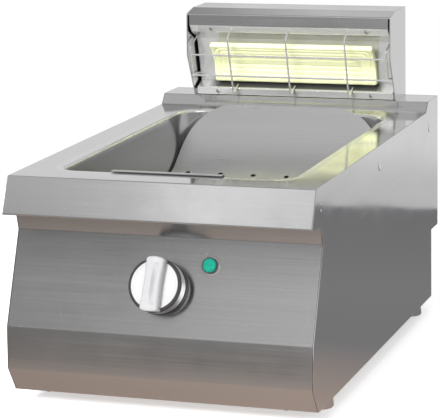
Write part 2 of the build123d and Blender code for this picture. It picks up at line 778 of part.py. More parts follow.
# Knob: chrome skirt, black tapered body, bright disc with a waisted grip bar.
with BuildPart() as knob_skirt:
    with BuildSketch(hub.offset(knob_clear)):
        Circle(knob_radius)
    extrude(amount=skirt_height)
    fillet(knob_skirt.edges().sort_by(Axis(hub.origin, hub.z_dir))[-1], radius=skirt_height / 3)
    with BuildSketch(hub.offset(knob_clear)):
        Circle(2 * bush_radius + 1.0)
    extrude(amount=bush_length + 0.2, mode=Mode.SUBTRACT)
    with BuildSketch(hub.offset(knob_clear)):
        Circle(shaft_radius)
    extrude(amount=skirt_height, mode=Mode.SUBTRACT)
finish(knob_skirt.part, "knob_skirt")

with BuildPart() as knob_body:
    with BuildSketch(hub.offset(knob_clear + skirt_height)):
        Circle(knob_radius - knob_taper)
    with BuildSketch(hub.offset(knob_ring)):
        Circle(knob_radius)
    loft()
    with BuildSketch(hub.offset(knob_ring)):
        Circle(disc_radius)
    extrude(amount=-disc_sink, mode=Mode.SUBTRACT)
    with BuildSketch(hub.offset(knob_clear + skirt_height)):
        Circle(shaft_radius)
    extrude(amount=shaft_reach - knob_clear - skirt_height, mode=Mode.SUBTRACT)
finish(knob_body.part, "knob_body")

with BuildPart() as knob_plate:
    with BuildSketch(hub.offset(knob_ring - disc_sink)):
        Circle(disc_radius)
    extrude(amount=disc_sink + disc_raise)
    with BuildSketch(hub.offset(knob_ring)) as grip:
        with BuildLine():
            waist = ThreePointArc((grip_end, grip_half), (grip_waist, 0), (grip_end, -grip_half))
            foot_end = ThreePointArc(waist @ 1, (0, -grip_half - grip_crown), (-grip_end, -grip_half))
            mirror(waist, about=Plane.YZ)
            mirror(foot_end, about=Plane.XZ)
        make_face()
    extrude(amount=knob_reach - knob_ring)
    crown = knob_plate.faces().sort_by(Axis(hub.origin, hub.z_dir))[-1]
    fillet(crown.edges(), radius=grip_round)
finish(knob_plate.part, "knob_plate")

# Pilot lamp.
lamp = face_plane(lamp_offset, lamp_height)
with BuildPart() as pilot_bezel:
    with BuildSketch(lamp):
        Circle(lamp_bezel_radius)
        Circle(lamp_barrel, mode=Mode.SUBTRACT)
    extrude(amount=sheet)
    rim_edge = pilot_bezel.edges().filter_by(GeomType.CIRCLE).sort_by(SortBy.RADIUS)[-2:]
    chamfer(rim_edge.sort_by(Axis(lamp.origin, lamp.z_dir))[-1], length=sheet / 2)
finish(pilot_bezel.part, "pilot_bezel")

with BuildPart() as pilot_body:
    with BuildSketch(lamp.offset(sheet)):
        Circle(lamp_flange_radius)
    extrude(amount=lamp_rise)
    with BuildSketch(lamp.offset(sheet)):
        Circle(lamp_barrel)
    extrude(amount=-sheet - barrel_length)
    with BuildSketch(lamp.offset(sheet + lamp_rise)):
        Circle(lamp_lens_radius)
    extrude(amount=-lamp_rise / 2, mode=Mode.SUBTRACT)
    with BuildSketch(lamp.offset(-barrel_length)):
        Rectangle(tab_width, tab_thick)
    extrude(amount=-tab_length)
finish(pilot_body.part, "pilot_body")

with BuildPart() as pilot_lens:
    with BuildSketch(lamp.offset(sheet + lamp_rise / 2)):
        Circle(lamp_lens_radius)
    extrude(amount=lamp_rise)
    front = pilot_lens.faces().sort_by(Axis(lamp.origin, lamp.z_dir))[-1]
    fillet(front.edges(), radius=lamp_rise * 0.45)
finish(pilot_lens.part, "pilot_lens")

with BuildPart() as pilot_nut:
    with BuildSketch(lamp.offset(back_of_panel)):
        RegularPolygon(lamp_flange_radius, 6, major_radius=False)
        Circle(lamp_barrel, mode=Mode.SUBTRACT)
    extrude(amount=-nut_height)
finish(pilot_nut.part, "pilot_nut")

# ---- wiring and terminals -----------------------------------------------------
block_y = 520.0
block_front = block_y - block_depth / 2


def terminal_block(x, y, z, ways):
    """Insulating block with a clamp screw's well for each way."""
    length = (ways + 0.4) * block_pitch
    with BuildPart() as block:
        with BuildSketch(Plane(origin=spot(x, y, z))):
            RectangleRounded(length, block_depth, 2)
        extrude(amount=block_height)
        with BuildSketch(Plane(origin=spot(x, y, z + block_height))):
            with GridLocations(block_pitch, 0, ways, 1):
                Circle(block_pitch / 4)
        extrude(amount=-block_height / 3, mode=Mode.SUBTRACT)
    return block.part


with BuildPart() as mains_terminal_block:
    add(terminal_block(gland_x, block_y, 2 * sheet, 3))
finish(mains_terminal_block.part, "mains_terminal_block")

head_block_x = duct_x + 34.0
with BuildPart() as head_terminal_block:
    add(terminal_block(head_block_x, duct_y, upstand_z + sheet, 2))
finish(head_terminal_block.part, "head_terminal_block")


def behind(x, height, depth):
    """Place behind the control face: across, up the face, and into the cabinet."""
    y = face_foot[0] + height * sin(face_lean) + depth * cos(face_lean)
    z = face_foot[1] + height * cos(face_lean) - depth * sin(face_lean)
    return (x, y, z)


tab_end = knob_height - regulator_width / 2 - tab_length
low = 12.0                   # where wires lie above the base
conduit_start = (duct_x, body_back - flange, pass_z)
lamp_lead_depth = 32.0
drop_back = 38.0             # how far behind the block the head's leads rise
with BuildPart() as control_wiring:
    add(lead([
        behind(0, tab_end, tab_depth), behind(0, tab_end - 20, tab_depth), (40, 30, 40),
        (gland_x, 80, low), (gland_x, block_front, low)], 12))
    add(lead([
        behind(-tab_pitch, tab_end, tab_depth), behind(-tab_pitch, tab_end - 20, tab_depth),
        (-40, 30, 40), (duct_x, 80, low), (duct_x, block_y + drop_back, low),
        (duct_x, block_y + drop_back, pass_z), conduit_start], 12))
    add(lead([
        behind(tab_pitch, tab_end, tab_depth), behind(tab_pitch, tab_end - 14, tab_depth),
        behind(40, tab_end - 10, 30), behind(lamp_offset, lamp_height - 25, lamp_lead_depth),
        behind(lamp_offset, lamp_height, lamp_lead_depth),
        behind(lamp_offset, lamp_height, barrel_length + tab_length)], 6))
finish(control_wiring.part, "control_wiring")

conduit_top = upstand_z + 14.0
with BuildPart() as head_conduit:
    with BuildLine():
        route = FilletPolyline(
            spot(*conduit_start), spot(duct_x, duct_y, pass_z), spot(duct_x, duct_y, conduit_top),
            radius=3 * conduit_radius)
    with BuildSketch(Plane(origin=route @ 0, z_dir=route % 0)):
        Circle(conduit_radius)
    sweep(path=route)
finish(head_conduit.part, "head_conduit")

with BuildPart() as duct_grommet:
    with BuildSketch(duct_place.offset(-sheet - grommet_lip)):
        Circle(grommet_neck + 2.5)
    extrude(amount=grommet_lip)
    with BuildSketch(duct_place.offset(-sheet)):
        Circle(grommet_neck)
    extrude(amount=2 * sheet)
    with BuildSketch(duct_place.offset(sheet)):
        Circle(grommet_neck + 2.5)
    extrude(amount=grommet_lip)
    with BuildSketch(duct_place.offset(-sheet - grommet_lip)):
        Circle(conduit_radius + bush_clear)
    extrude(amount=2 * (sheet + grommet_lip), mode=Mode.SUBTRACT)
finish(duct_grommet.part, "duct_grommet")

boss_end = along(boss_foot, back_lean, thin_sheet + boss_depth)
block_mouth = upstand_z + sheet + block_height
lead_rise = 34.0
with BuildPart() as element_leads:
    add(lead([
        (duct_x, duct_y, conduit_top), (duct_x, duct_y, upstand_z + lead_rise),
        (head_block_x - 8, duct_y, upstand_z + lead_rise), (head_block_x - 8, duct_y, block_mouth)], 7))
    for x, y, rise in ((-8, duct_y - 4, 40), (8, duct_y + 4, 46)):
        turn = along(boss_foot, back_lean, (y - boss_foot[0]) / cos(back_lean))
        add(lead([
            (x, *boss_end), (x, *turn),
            (head_block_x + x / 2 + 4, y, upstand_z + rise), (head_block_x + x / 2 + 4, y, block_mouth)], 5))
finish(element_leads.part, "element_leads")

# ---- back: cable gland and bonding stud ---------------------------------------
with BuildPart() as cable_gland:
    with BuildSketch(gland_place.offset(-sheet - gland_tail)):
        Circle(gland_thread)
    extrude(amount=sheet + gland_tail)
    with BuildSketch(gland_place):
        RegularPolygon(gland_radius, 6, major_radius=False)
    extrude(amount=gland_hex)
    with BuildSketch(gland_place.offset(gland_hex)):
        Circle(gland_radius)
    extrude(amount=gland_length - gland_hex)
    dome = cable_gland.faces().sort_by(Axis.Y)[-1]
    fillet(dome.edges(), radius=gland_radius / 3)
    with BuildSketch(gland_place.offset(gland_length)):
        Circle(gland_bore)
    extrude(amount=-(gland_length + sheet + gland_tail), mode=Mode.SUBTRACT)
finish(cable_gland.part, "cable_gland")

with BuildPart() as gland_locknut:
    with BuildSketch(gland_place.offset(back_of_panel)):
        RegularPolygon(gland_radius, 6, major_radius=False)
        Circle(gland_thread, mode=Mode.SUBTRACT)
    extrude(amount=-nut_height)
finish(gland_locknut.part, "gland_locknut")

with BuildPart() as earth_stud:
    with BuildSketch(earth_place.offset(back_of_panel)):
        RegularPolygon(2 * earth_radius, 6)
    extrude(amount=-nut_height)
    with BuildSketch(earth_place.offset(back_of_panel)):
        Circle(earth_radius + earth_shoulder)
    extrude(amount=sheet + nut_height)
    with BuildSketch(earth_place.offset(nut_height)):
        Circle(earth_radius)
    extrude(amount=earth_length)
finish(earth_stud.part, "earth_stud")

with BuildPart() as earth_nut:
    with BuildSketch(earth_place):
        RegularPolygon(2 * earth_radius, 6)
        Circle(earth_radius + earth_shoulder, mode=Mode.SUBTRACT)
    extrude(amount=nut_height)
finish(earth_nut.part, "earth_nut")

# ---- feet ---------------------------------------------------------------------
tray_top = 2 * sheet
with BuildPart() as foot_sockets:
    for x, y in feet:
        with BuildSketch(Plane(origin=spot(x, y, tray_top))):
            RegularPolygon(socket_radius, 6, major_radius=False)
            Circle(stud_radius + stud_fit, mode=Mode.SUBTRACT)
        extrude(amount=socket_height)
finish(foot_sockets.part, "foot_sockets")

cup_top = sheet - seat_gap
for x, y in feet:
    place = ("front" if y == foot_front else "rear") + ("_left" if x < 0 else "_right")
    with BuildPart() as foot_cup:
        with BuildSketch(Plane(origin=spot(x, y, -foot_height))):
            Circle(foot_radius)
        with BuildSketch(Plane(origin=spot(x, y, cup_top))):
            Circle(foot_top_radius)
        loft()
        fillet(foot_cup.edges().sort_by(Axis.Z)[0], radius=foot_round)
        with BuildSketch(Plane(origin=spot(x, y, cup_top))):
            Circle(stud_radius)
        extrude(amount=-stud_sink, mode=Mode.SUBTRACT)
    finish(foot_cup.part, f"foot_cup_{place}")
    with BuildPart() as foot_stud:
        with BuildSketch(Plane(origin=spot(x, y, cup_top - stud_sink))):
            Circle(stud_radius)
        extrude(amount=stud_length)
    finish(foot_stud.part, f"foot_stud_{place}")
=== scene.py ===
import bpy
import math
from mathutils import Matrix, Vector


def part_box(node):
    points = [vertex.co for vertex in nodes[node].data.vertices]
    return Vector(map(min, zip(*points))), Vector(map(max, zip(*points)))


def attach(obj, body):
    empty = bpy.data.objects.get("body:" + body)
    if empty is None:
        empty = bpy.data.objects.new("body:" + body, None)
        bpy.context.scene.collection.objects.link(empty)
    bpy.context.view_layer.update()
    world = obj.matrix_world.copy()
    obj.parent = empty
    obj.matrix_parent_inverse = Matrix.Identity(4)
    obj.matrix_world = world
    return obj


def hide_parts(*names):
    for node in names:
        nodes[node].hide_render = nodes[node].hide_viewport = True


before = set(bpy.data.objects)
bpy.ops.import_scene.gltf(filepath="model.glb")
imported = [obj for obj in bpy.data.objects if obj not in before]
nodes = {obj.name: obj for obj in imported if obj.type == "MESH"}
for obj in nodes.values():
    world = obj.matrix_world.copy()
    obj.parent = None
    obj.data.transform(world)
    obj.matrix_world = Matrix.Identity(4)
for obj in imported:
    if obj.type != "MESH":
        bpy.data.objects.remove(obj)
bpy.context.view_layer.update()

scene = bpy.context.scene

# Sections are read in millimetres from the worktop's front edge and the
# panels' lower edge, so their origin is found from two CAD nodes.
bodyDepth = 589.0
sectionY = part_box("back_panel")[1].y - bodyDepth / 1000
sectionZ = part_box("front_panel")[0].z


def spot(x, y, z):
    return Vector((x / 1000, y / 1000 + sectionY, z / 1000 + sectionZ))


print("frame loaded,", len(nodes), "nodes")

# camera

cameraView = {
    "eye": (917.5, -2451.8, 797.2), "aim": (-7.4, 250.0, 190.0), "roll": -1.197, "lens": 179.73,
    "sensor": 36.0, "farthest": 50.0,
}


def makeCamera(view):
    eye = spot(*view["eye"])
    forward = (spot(*view["aim"]) - eye).normalized()
    right = forward.cross(Vector((0, 0, 1))).normalized()
    right = Matrix.Rotation(math.radians(-view["roll"]), 3, forward) @ right
    up = right.cross(forward)
    data = bpy.data.cameras.new("mainCamera")
    data.lens = view["lens"]
    data.sensor_width = view["sensor"]
    data.clip_end = view["farthest"]
    camera = bpy.data.objects.new("mainCamera", data)
    axes = Matrix((right, up, -forward)).transposed()
    camera.matrix_world = Matrix.Translation(eye) @ axes.to_4x4()
    scene.collection.objects.link(camera)
    scene.camera = camera


makeCamera(cameraView)
print("camera placed")

# node helpers for materials and geometry

mathKinds = {
    "add": "ADD", "sub": "SUBTRACT", "mul": "MULTIPLY", "div": "DIVIDE", "min": "MINIMUM", "max": "MAXIMUM",
    "abs": "ABSOLUTE", "cos": "COSINE", "sin": "SINE", "pow": "POWER", "sign": "SIGN", "root": "SQRT",
    "more": "GREATER_THAN",
}


def addNode(tree, kind, links=None, **settings):
    node = tree.nodes.new(kind)
    for key, value in settings.items():
        setattr(node, key, value)
    for key, value in (links or {}).items():
        socket = node.inputs[key]
        if isinstance(value, bpy.types.NodeSocket):
            tree.links.new(value, socket)
        else:
            socket.default_value = value
    return node


def calc(tree, kind, first, second=0.0):
    return addNode(tree, "ShaderNodeMath", {0: first, 1: second}, operation=mathKinds[kind]).outputs[0]


def parted(tree, vector):
    return addNode(tree, "ShaderNodeSeparateXYZ", {0: vector}).outputs


def vectorOf(tree, x=0.0, y=0.0, z=0.0):
    return addNode(tree, "ShaderNodeCombineXYZ", {0: x, 1: y, 2: z}).outputs[0]


def scaled(tree, vector, level):
    return addNode(tree, "ShaderNodeVectorMath", {0: vector, "Scale": level}, operation="SCALE").outputs[0]


def ranged(tree, value, low, high, start=0.3, end=0.7):
    return addNode(tree, "ShaderNodeMapRange", {
        "Value": value, "From Min": start, "From Max": end, "To Min": low, "To Max": high}).outputs[0]


def blend(tree, factor, first, second, **settings):
    ends = [c if isinstance(c, bpy.types.NodeSocket) else (*c, 1) for c in (first, second)]
    node = addNode(tree, "ShaderNodeMix", {
        "Factor": factor, "A": ends[0], "B": ends[1]}, data_type="RGBA", **settings)
    return next(s for s in node.outputs if s.enabled)


def mottled(tree, factor, tone, share):
    # a tone and a darker share of it
    return blend(tree, factor, [share * c for c in tone], tone)


def objectPlace(tree):
    return addNode(tree, "ShaderNodeTexCoord").outputs["Object"]


def objectPattern(tree, scale=(1, 1, 1), size=1.0, detail=2.0, rough=0.5):
    stretch = addNode(tree, "ShaderNodeMapping", {"Vector": objectPlace(tree), "Scale": scale})
    return addNode(tree, "ShaderNodeTexNoise", {
        "Vector": stretch.outputs[0], "Scale": size, "Detail": detail, "Roughness": rough}).outputs["Fac"]


def bumped(tree, height, depth, normal=None):
    links = {"Height": height, "Distance": depth}
    if normal is not None:
        links["Normal"] = normal
    return addNode(tree, "ShaderNodeBump", links).outputs[0]


def rampOf(tree, factor, stops):
    ramp = addNode(tree, "ShaderNodeValToRGB", {"Fac": factor})
    elements = ramp.color_ramp.elements
    while len(elements) < len(stops):
        elements.new(0.5)
    for element, (place, colour) in zip(elements, stops):
        element.position = place
        element.color = (*colour, 1)
    return ramp.outputs[0]


def rayIs(tree, *kinds):
    path = addNode(tree, "ShaderNodeLightPath")
    value = path.outputs[kinds[0]]
    for kind in kinds[1:]:
        value = calc(tree, "max", value, path.outputs[kind])
    return value


def newMaterial(name):
    material = bpy.data.materials.new(name)
    material.use_nodes = True
    tree = material.node_tree
    return material, tree, tree.nodes["Principled BSDF"]


# sheet steels: tone and roughness, the way the brushing runs, how wavy the
# sheet is, how strong the brushing is, how metallic the steel is, and how much
# it pulls reflections upright

steelLooks = {
    "worktopSteel": {
        "tone": 0.745, "rough": 0.085, "grain": "x", "wave": 0.0003, "line": 0.5, "metal": 0.97, "pull": 0.0},
    "frontSteel": {
        # the front's last entry paints the shade under the apron's overhang
        "tone": 0.68, "rough": 0.165, "grain": "x", "wave": 0.0002, "line": 0.6, "metal": 0.985, "pull": 0.8,
        "shade": {"low": 0.165, "top": 0.2225, "level": 0.70, "step": 0.001}},
    "sideSteel": {
        "tone": 0.69, "rough": 0.10, "grain": "y", "wave": 0.0013, "line": 0.5, "metal": 0.98, "pull": 0.0},
    "hoodSteel": {
        "tone": 0.71, "rough": 0.17, "grain": "x", "wave": 0.0003, "line": 0.8, "metal": 0.97, "pull": 0.6},
    "wellSteel": {
        # the well's last entry paints shade in, darker and duller towards the front
        "tone": 0.74, "rough": 0.14, "grain": "y", "wave": 0.0005, "line": 0.5, "metal": 0.86, "pull": 0.0,
        "fade": {"near": -0.22, "far": 0.16, "level": 0.55, "edge": 0.15, "rim": 0.286, "step": 0.008}},
    "insertSteel": {
        "tone": 0.68, "rough": 0.34, "grain": "x", "wave": 0.0002, "line": 0.6, "metal": 0.93, "pull": 0.0},
    # the reflector's last entry paints the element's shadow along its lower fold
    "reflectorSteel": {
        "tone": 0.86, "rough": 0.17, "grain": "x", "wave": 0.0002, "line": 0.5, "metal": 0.74, "pull": 0.0,
        "heat": {"level": 0.25, "y": (0.2815, 0.2840), "z": (0.330, 0.338), "x": (0.121, 0.134)}},
    "innerSteel": {
        "tone": 0.60, "rough": 0.32, "grain": "x", "wave": 0.0004, "line": 1.0, "metal": 0.93, "pull": 0.0},
}
grainScales = {"x": (5.0, 420.0, 420.0), "y": (420.0, 5.0, 420.0)}
steelMarks = {
    "blue": 0.995, "dark": 0.95, "finer": 4, "swell": 4.5, "smudge": 14.0, "smudged": (-0.03, 0.05),
    "spread": 0.25, "lineDepth": 0.0000012,
}


def paintedWellShade(tree, shader, surface, place, fade):
    # painted shade: darker and duller towards the front, but not on the rim
    rim = ranged(tree, place["Z"], 0.0, 1.0, fade["rim"], fade["rim"] + fade["step"])
    level = ranged(tree, place["Y"], fade["level"], 1.0, fade["near"], fade["far"])
    tree.links.new(calc(tree, "max", fade["edge"], rim), shader.inputs["Specular Tint"])
    return scaled(tree, surface, calc(tree, "max", level, rim))


def paintedApronShade(tree, surface, place, shade):
    # painted shade under the apron: dimmer towards the face's upper edge, but not in the recess above it
    recess = ranged(tree, place["Z"], 0.0, 1.0, shade["top"], shade["top"] + shade["step"])
    level = ranged(tree, place["Z"], 1.0, shade["level"], shade["low"], shade["top"])
    return scaled(tree, surface, calc(tree, "max", level, recess))


def paintedElementShadow(tree, surface, place, heat):
    # painted shadow of the element along the reflector's lower fold
    band = ranged(tree, place["Y"], 0.0, 1.0, *heat["y"])
    band = calc(tree, "mul", band, ranged(tree, place["Z"], 1.0, 0.0, *heat["z"]))
    band = calc(tree, "mul", band, ranged(tree, calc(tree, "abs", place["X"]), 1.0, 0.0, *heat["x"]))
    return scaled(tree, surface, ranged(tree, band, 1.0, heat["level"], 0.0, 1.0))


def steel(name, look):
    material, tree, shader = newMaterial(name)
    scales = grainScales[look["grain"]]
    grain = objectPattern(tree, scales, detail=3.0)
    fine = objectPattern(tree, [steelMarks["finer"] * s for s in scales])
    swell = objectPattern(tree, size=steelMarks["swell"], detail=1.0)
    smudge = objectPattern(tree, size=steelMarks["smudge"], detail=5.0, rough=0.65)
    tone = (look["tone"], look["tone"], look["tone"] * steelMarks["blue"])
    surface = mottled(tree, ranged(tree, grain, 0.0, 1.0), tone, steelMarks["dark"])
    place = parted(tree, objectPlace(tree))
    if "fade" in look:
        surface = paintedWellShade(tree, shader, surface, place, look["fade"])
    if "shade" in look:
        surface = paintedApronShade(tree, surface, place, look["shade"])
    if "heat" in look:
        surface = paintedElementShadow(tree, surface, place, look["heat"])
    tree.links.new(surface, shader.inputs["Base Color"])
    spread = steelMarks["spread"] * look["rough"] * look["line"]
    lines = ranged(tree, grain, look["rough"] - spread, look["rough"] + spread)
    marks = ranged(tree, smudge, *steelMarks["smudged"])
    tree.links.new(calc(tree, "add", lines, marks), shader.inputs["Roughness"])
    normal = bumped(tree, swell, look["wave"])
    normal = bumped(tree, fine, steelMarks["lineDepth"] * look["line"], normal)
    tree.links.new(normal, shader.inputs["Normal"])
    shader.inputs["Metallic"].default_value = look["metal"]
    if look["pull"]:
        shader.inputs["Anisotropic"].default_value = look["pull"]
        tree.links.new(vectorOf(tree, z=1.0), shader.inputs["Tangent"])
    return material


# polished metals, moulded plastics, the glaze and the lamp's lens

brightLooks = {
    "wireSteel": {"tone": (0.84, 0.84, 0.84), "rough": 0.10, "metal": 0.8},
    # a dark collar on the knob's skirt; its darkness is painted shade where the knob meets the panel
    "darkCollarPaintedShade": {"tone": (0.075, 0.072, 0.07), "rough": 0.34},
    "screwSteel": {"tone": (0.78, 0.78, 0.79), "rough": 0.16},
    "chrome": {"tone": (0.86, 0.86, 0.87), "rough": 0.05, "scratch": 0.03},
    "footMetal": {"tone": (0.70, 0.70, 0.71), "rough": 0.22, "scratch": 0.1},
    "brass": {"tone": (0.78, 0.60, 0.30), "rough": 0.25, "scratch": 0.1},
}
mouldedLooks = {
    "dialWhite": {"tone": (0.395, 0.395, 0.395), "rough": 0.3, "coat": 0.3},
    "silverLacquer": {"tone": (0.335, 0.335, 0.34), "rough": 0.25, "coat": 0.5},
    "blackPlastic": {"tone": (0.025, 0.025, 0.028), "rough": 0.35, "depth": 0.00002},
    "greyConduit": {"tone": (0.22, 0.22, 0.23), "rough": 0.5},
    "blackRubber": {"tone": (0.02, 0.02, 0.02), "rough": 0.6, "depth": 0.00003},
    "whiteBlock": {"tone": (0.80, 0.78, 0.72), "rough": 0.45},
    "leadSleeve": {"tone": (0.66, 0.62, 0.55), "rough": 0.7, "grain": 1600.0, "depth": 0.00008},
}
glazeLook = {
    "tone": (0.86, 0.88, 0.57), "thin": (0.96, 0.97, 0.86), "rough": 0.25, "duller": 1.3, "cloud": 18.0,
    "specks": 900.0, "wave": 0.0003, "pits": 0.000015, "coat": 0.4, "coatRough": 0.12,
}
lensLook = {
    "deep": (0.0, 0.10, 0.065), "clear": (0.0, 0.26, 0.18), "facets": 620.0, "depth": 0.0002, "shine": 0.25,
    "rough": (0.16, 0.24), "cell": (0.1, 0.75),
}


def bright(name, tone, rough, scratch=0.05, metal=1.0, grain=220.0, dark=0.92, depth=0.000006):
    material, tree, shader = newMaterial(name)
    spots = objectPattern(tree, size=grain, detail=4.0)
    tree.links.new(ranged(tree, spots, rough, rough + scratch), shader.inputs["Roughness"])
    tree.links.new(mottled(tree, spots, tone, dark), shader.inputs["Base Color"])
    tree.links.new(bumped(tree, spots, depth), shader.inputs["Normal"])
    shader.inputs["Metallic"].default_value = metal
    return material


def moulded(
        name, tone, rough, grain=900.0, depth=0.00001, coat=0.0, cloud=30.0, dark=0.88, glossier=0.85,
        duller=1.15):
    material, tree, shader = newMaterial(name)
    pores = objectPattern(tree, size=grain)
    patches = objectPattern(tree, size=cloud, detail=3.0)
    tree.links.new(mottled(tree, patches, tone, dark), shader.inputs["Base Color"])
    tree.links.new(ranged(tree, patches, rough * glossier, rough * duller), shader.inputs["Roughness"])
    tree.links.new(bumped(tree, pores, depth), shader.inputs["Normal"])
    shader.inputs["Coat Weight"].default_value = coat
    return material


def glazed(name, look):
    material, tree, shader = newMaterial(name)
    cloud = objectPattern(tree, size=look["cloud"], detail=4.0)
    specks = objectPattern(tree, size=look["specks"], detail=1.0)
    thin = [c * share for c, share in zip(look["tone"], look["thin"])]
    colour = blend(tree, ranged(tree, cloud, 0.0, 1.0), thin, look["tone"])
    tree.links.new(colour, shader.inputs["Base Color"])
    rough = ranged(tree, specks, look["rough"], look["rough"] * look["duller"])
    tree.links.new(rough, shader.inputs["Roughness"])
    normal = bumped(tree, cloud, look["wave"])
    tree.links.new(bumped(tree, specks, look["pits"], normal), shader.inputs["Normal"])
    shader.inputs["Coat Weight"].default_value = look["coat"]
    shader.inputs["Coat Roughness"].default_value = look["coatRough"]
    return material


def faceted(name, look):
    material, tree, shader = newMaterial(name)
    reach = addNode(tree, "ShaderNodeTexVoronoi", {
        "Vector": objectPlace(tree), "Scale": look["facets"]}, feature="SMOOTH_F1").outputs["Distance"]
    colour = blend(tree, ranged(tree, reach, 1.0, 0.0, *look["cell"]), look["deep"], look["clear"])
    tree.links.new(colour, shader.inputs["Base Color"])
    tree.links.new(ranged(tree, reach, *look["rough"], 0.0, 1.0), shader.inputs["Roughness"])
    tree.links.new(bumped(tree, reach, look["depth"]), shader.inputs["Normal"])
    shader.inputs["Specular IOR Level"].default_value = look["shine"]
    return material


looks = {name: steel(name, look) for name, look in steelLooks.items()}
looks |= {name: bright(name, **look) for name, look in brightLooks.items()}
looks |= {name: moulded(name, **look) for name, look in mouldedLooks.items()}
looks["glaze"] = glazed("glaze", glazeLook)
looks["lampGreen"] = faceted("lampGreen", lensLook)
print("materials made,", len(looks))

# looks of the CAD nodes; a node that isn't named is a small steel part

nodeLooks = {
    "worktop": "worktopSteel", "well": "wellSteel", "false_bottom": "insertSteel",
    "front_panel": "frontSteel", "side_panel_left": "sideSteel", "side_panel_right": "sideSteel",
    "rear_cover": "frontSteel", "base_tray": "innerSteel", "back_panel": "innerSteel",
    "head_base": "innerSteel", "head_cheek_left": "hoodSteel", "head_cheek_right": "hoodSteel",
    "hood": "hoodSteel", "reflector": "reflectorSteel", "ceramic_element": "glaze",
    "element_leads": "leadSleeve", "head_terminal_block": "whiteBlock", "wire_guard": "wireSteel",
    "energy_regulator": "blackPlastic", "knob_skirt": "darkCollarPaintedShade", "knob_body": "blackPlastic",
    "knob_plate": "silverLacquer", "pilot_bezel": "chrome", "pilot_body": "blackPlastic",
    "pilot_lens": "lampGreen", "pilot_nut": "blackPlastic", "mains_terminal_block": "whiteBlock",
    "control_wiring": "leadSleeve", "head_conduit": "greyConduit", "duct_grommet": "blackRubber",
    "cable_gland": "blackPlastic", "gland_locknut": "blackPlastic", "earth_stud": "brass",
    "earth_nut": "brass",
}
sheetJoin = {"gap": 0.00001, "sharp": math.radians(28)}
softEdge = {
    "segments": 3, "angle": math.radians(50),
    "widths": {
        "side_panel_left": 0.0006, "side_panel_right": 0.0006, "head_cheek_left": 0.0004,
        "head_cheek_right": 0.0004, "front_panel": 0.0004},
}


def lookOf(node):
    if "foot_cup" in node:
        return "footMetal"
    return nodeLooks.get(node, "screwSteel")


def newTree(name, inputs):
    # tree with a geometry input and output and one number for each named input
    tree = bpy.data.node_groups.new(name, "GeometryNodeTree")
    tree.interface.new_socket(name="Geometry", in_out="INPUT", socket_type="NodeSocketGeometry")
    for key in inputs:
        tree.interface.new_socket(name=key, in_out="INPUT", socket_type="NodeSocketFloat")
    tree.interface.new_socket(name="Geometry", in_out="OUTPUT", socket_type="NodeSocketGeometry")
    start = tree.nodes.new("NodeGroupInput")
    end = tree.nodes.new("NodeGroupOutput")
    return tree, start.outputs, end


def giveTree(piece, tree, values):
    modifier = piece.modifiers.new(tree.name, "NODES")
    modifier.node_group = tree
    for item in tree.interface.items_tree:
        if item.in_out == "INPUT" and item.name in values:
            modifier[item.identifier] = values[item.name]
    return modifier


def smoothed(tree, geometry):
    return addNode(tree, "GeometryNodeSetShadeSmooth", {
        "Geometry": geometry, "Shade Smooth": True}).outputs[0]


def joinedSheetTree(sizes):
    tree, get, end = newTree("joinedSheet", sizes)
    merged = addNode(tree, "GeometryNodeMergeByDistance", {
        "Geometry": get["Geometry"], "Distance": get["gap"]})
    angle = addNode(tree, "GeometryNodeInputMeshEdgeAngle")
    crease = addNode(tree, "FunctionNodeCompare", {0: angle.outputs[0], 1: get["sharp"]})
    hard = addNode(tree, "GeometryNodeSetShadeSmooth", {
        "Geometry": smoothed(tree, merged.outputs[0]), "Selection": crease.outputs[0],
        "Shade Smooth": False}, domain="EDGE")
    tree.links.new(hard.outputs[0], end.inputs[0])
    return tree


joinedSheet = joinedSheetTree(sheetJoin)
for name, piece in nodes.items():
    piece.data.materials.clear()
    piece.data.materials.append(looks[lookOf(name)])
    giveTree(piece, joinedSheet, sheetJoin)
    if name in softEdge["widths"]:
        bevel = piece.modifiers.new("edge", "BEVEL")
        bevel.width = softEdge["widths"][name]
        bevel.segments = softEdge["segments"]
        bevel.limit_method = "ANGLE"
        bevel.angle_limit = softEdge["angle"]
        bevel.harden_normals = True
    else:
        even = piece.modifiers.new("even", "WEIGHTED_NORMAL")
        even.keep_sharp = True
print("CAD nodes dressed")

# pieces built by geometry trees


def pathMesh(name, paths, loose=(), facings=None):
    # mesh of open paths and loose points, for a tree to build on
    points, edges = [], []
    for path in paths:
        first = len(points)
        points += path
        edges += [(k, k + 1) for k in range(first, first + len(path) - 1)]
    points += loose
    mesh = bpy.data.meshes.new(name)
    mesh.from_pydata([tuple(p) for p in points], edges, [])
    if facings is not None:
        facing = mesh.attributes.new("facing", "FLOAT_VECTOR", "POINT")
        facing.data.foreach_set("vector", [c for f in facings for c in f])
    return mesh


def built(name, base, tree, values, smooth, stands=()):
    # runs the tree on the base mesh and keeps the result as a plain mesh
    holder = bpy.data.objects.new(name + "Holder", base)
    scene.collection.objects.link(holder)
    modifier = giveTree(holder, tree, values)
    graph = bpy.context.evaluated_depsgraph_get()
    graph.update()
    mesh = bpy.data.meshes.new_from_object(holder.evaluated_get(graph))
    mesh.name = name
    holder.modifiers.remove(modifier)
    bpy.data.objects.remove(holder)
    piece = bpy.data.objects.new(name, mesh)
    scene.collection.objects.link(piece)
    mesh.shade_smooth()
    mesh.set_sharp_from_angle(angle=math.radians(smooth))
    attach(piece, "cabinet")
    if stands:
        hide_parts(*stands)


def closeTree(tree, end, geometry, look):
    real = addNode(tree, "GeometryNodeRealizeInstances", {0: geometry})
    painted = addNode(tree, "GeometryNodeSetMaterial", {"Geometry": real.outputs[0], "Material": looks[look]})
    tree.links.new(painted.outputs[0], end.inputs[0])


def joined(tree, *parts):
    join = tree.nodes.new("GeometryNodeJoinGeometry")
    for part in parts:
        tree.links.new(part, join.inputs[0])
    return join.outputs[0]


def vertexPlace(tree):
    return parted(tree, addNode(tree, "GeometryNodeInputPosition").outputs[0])


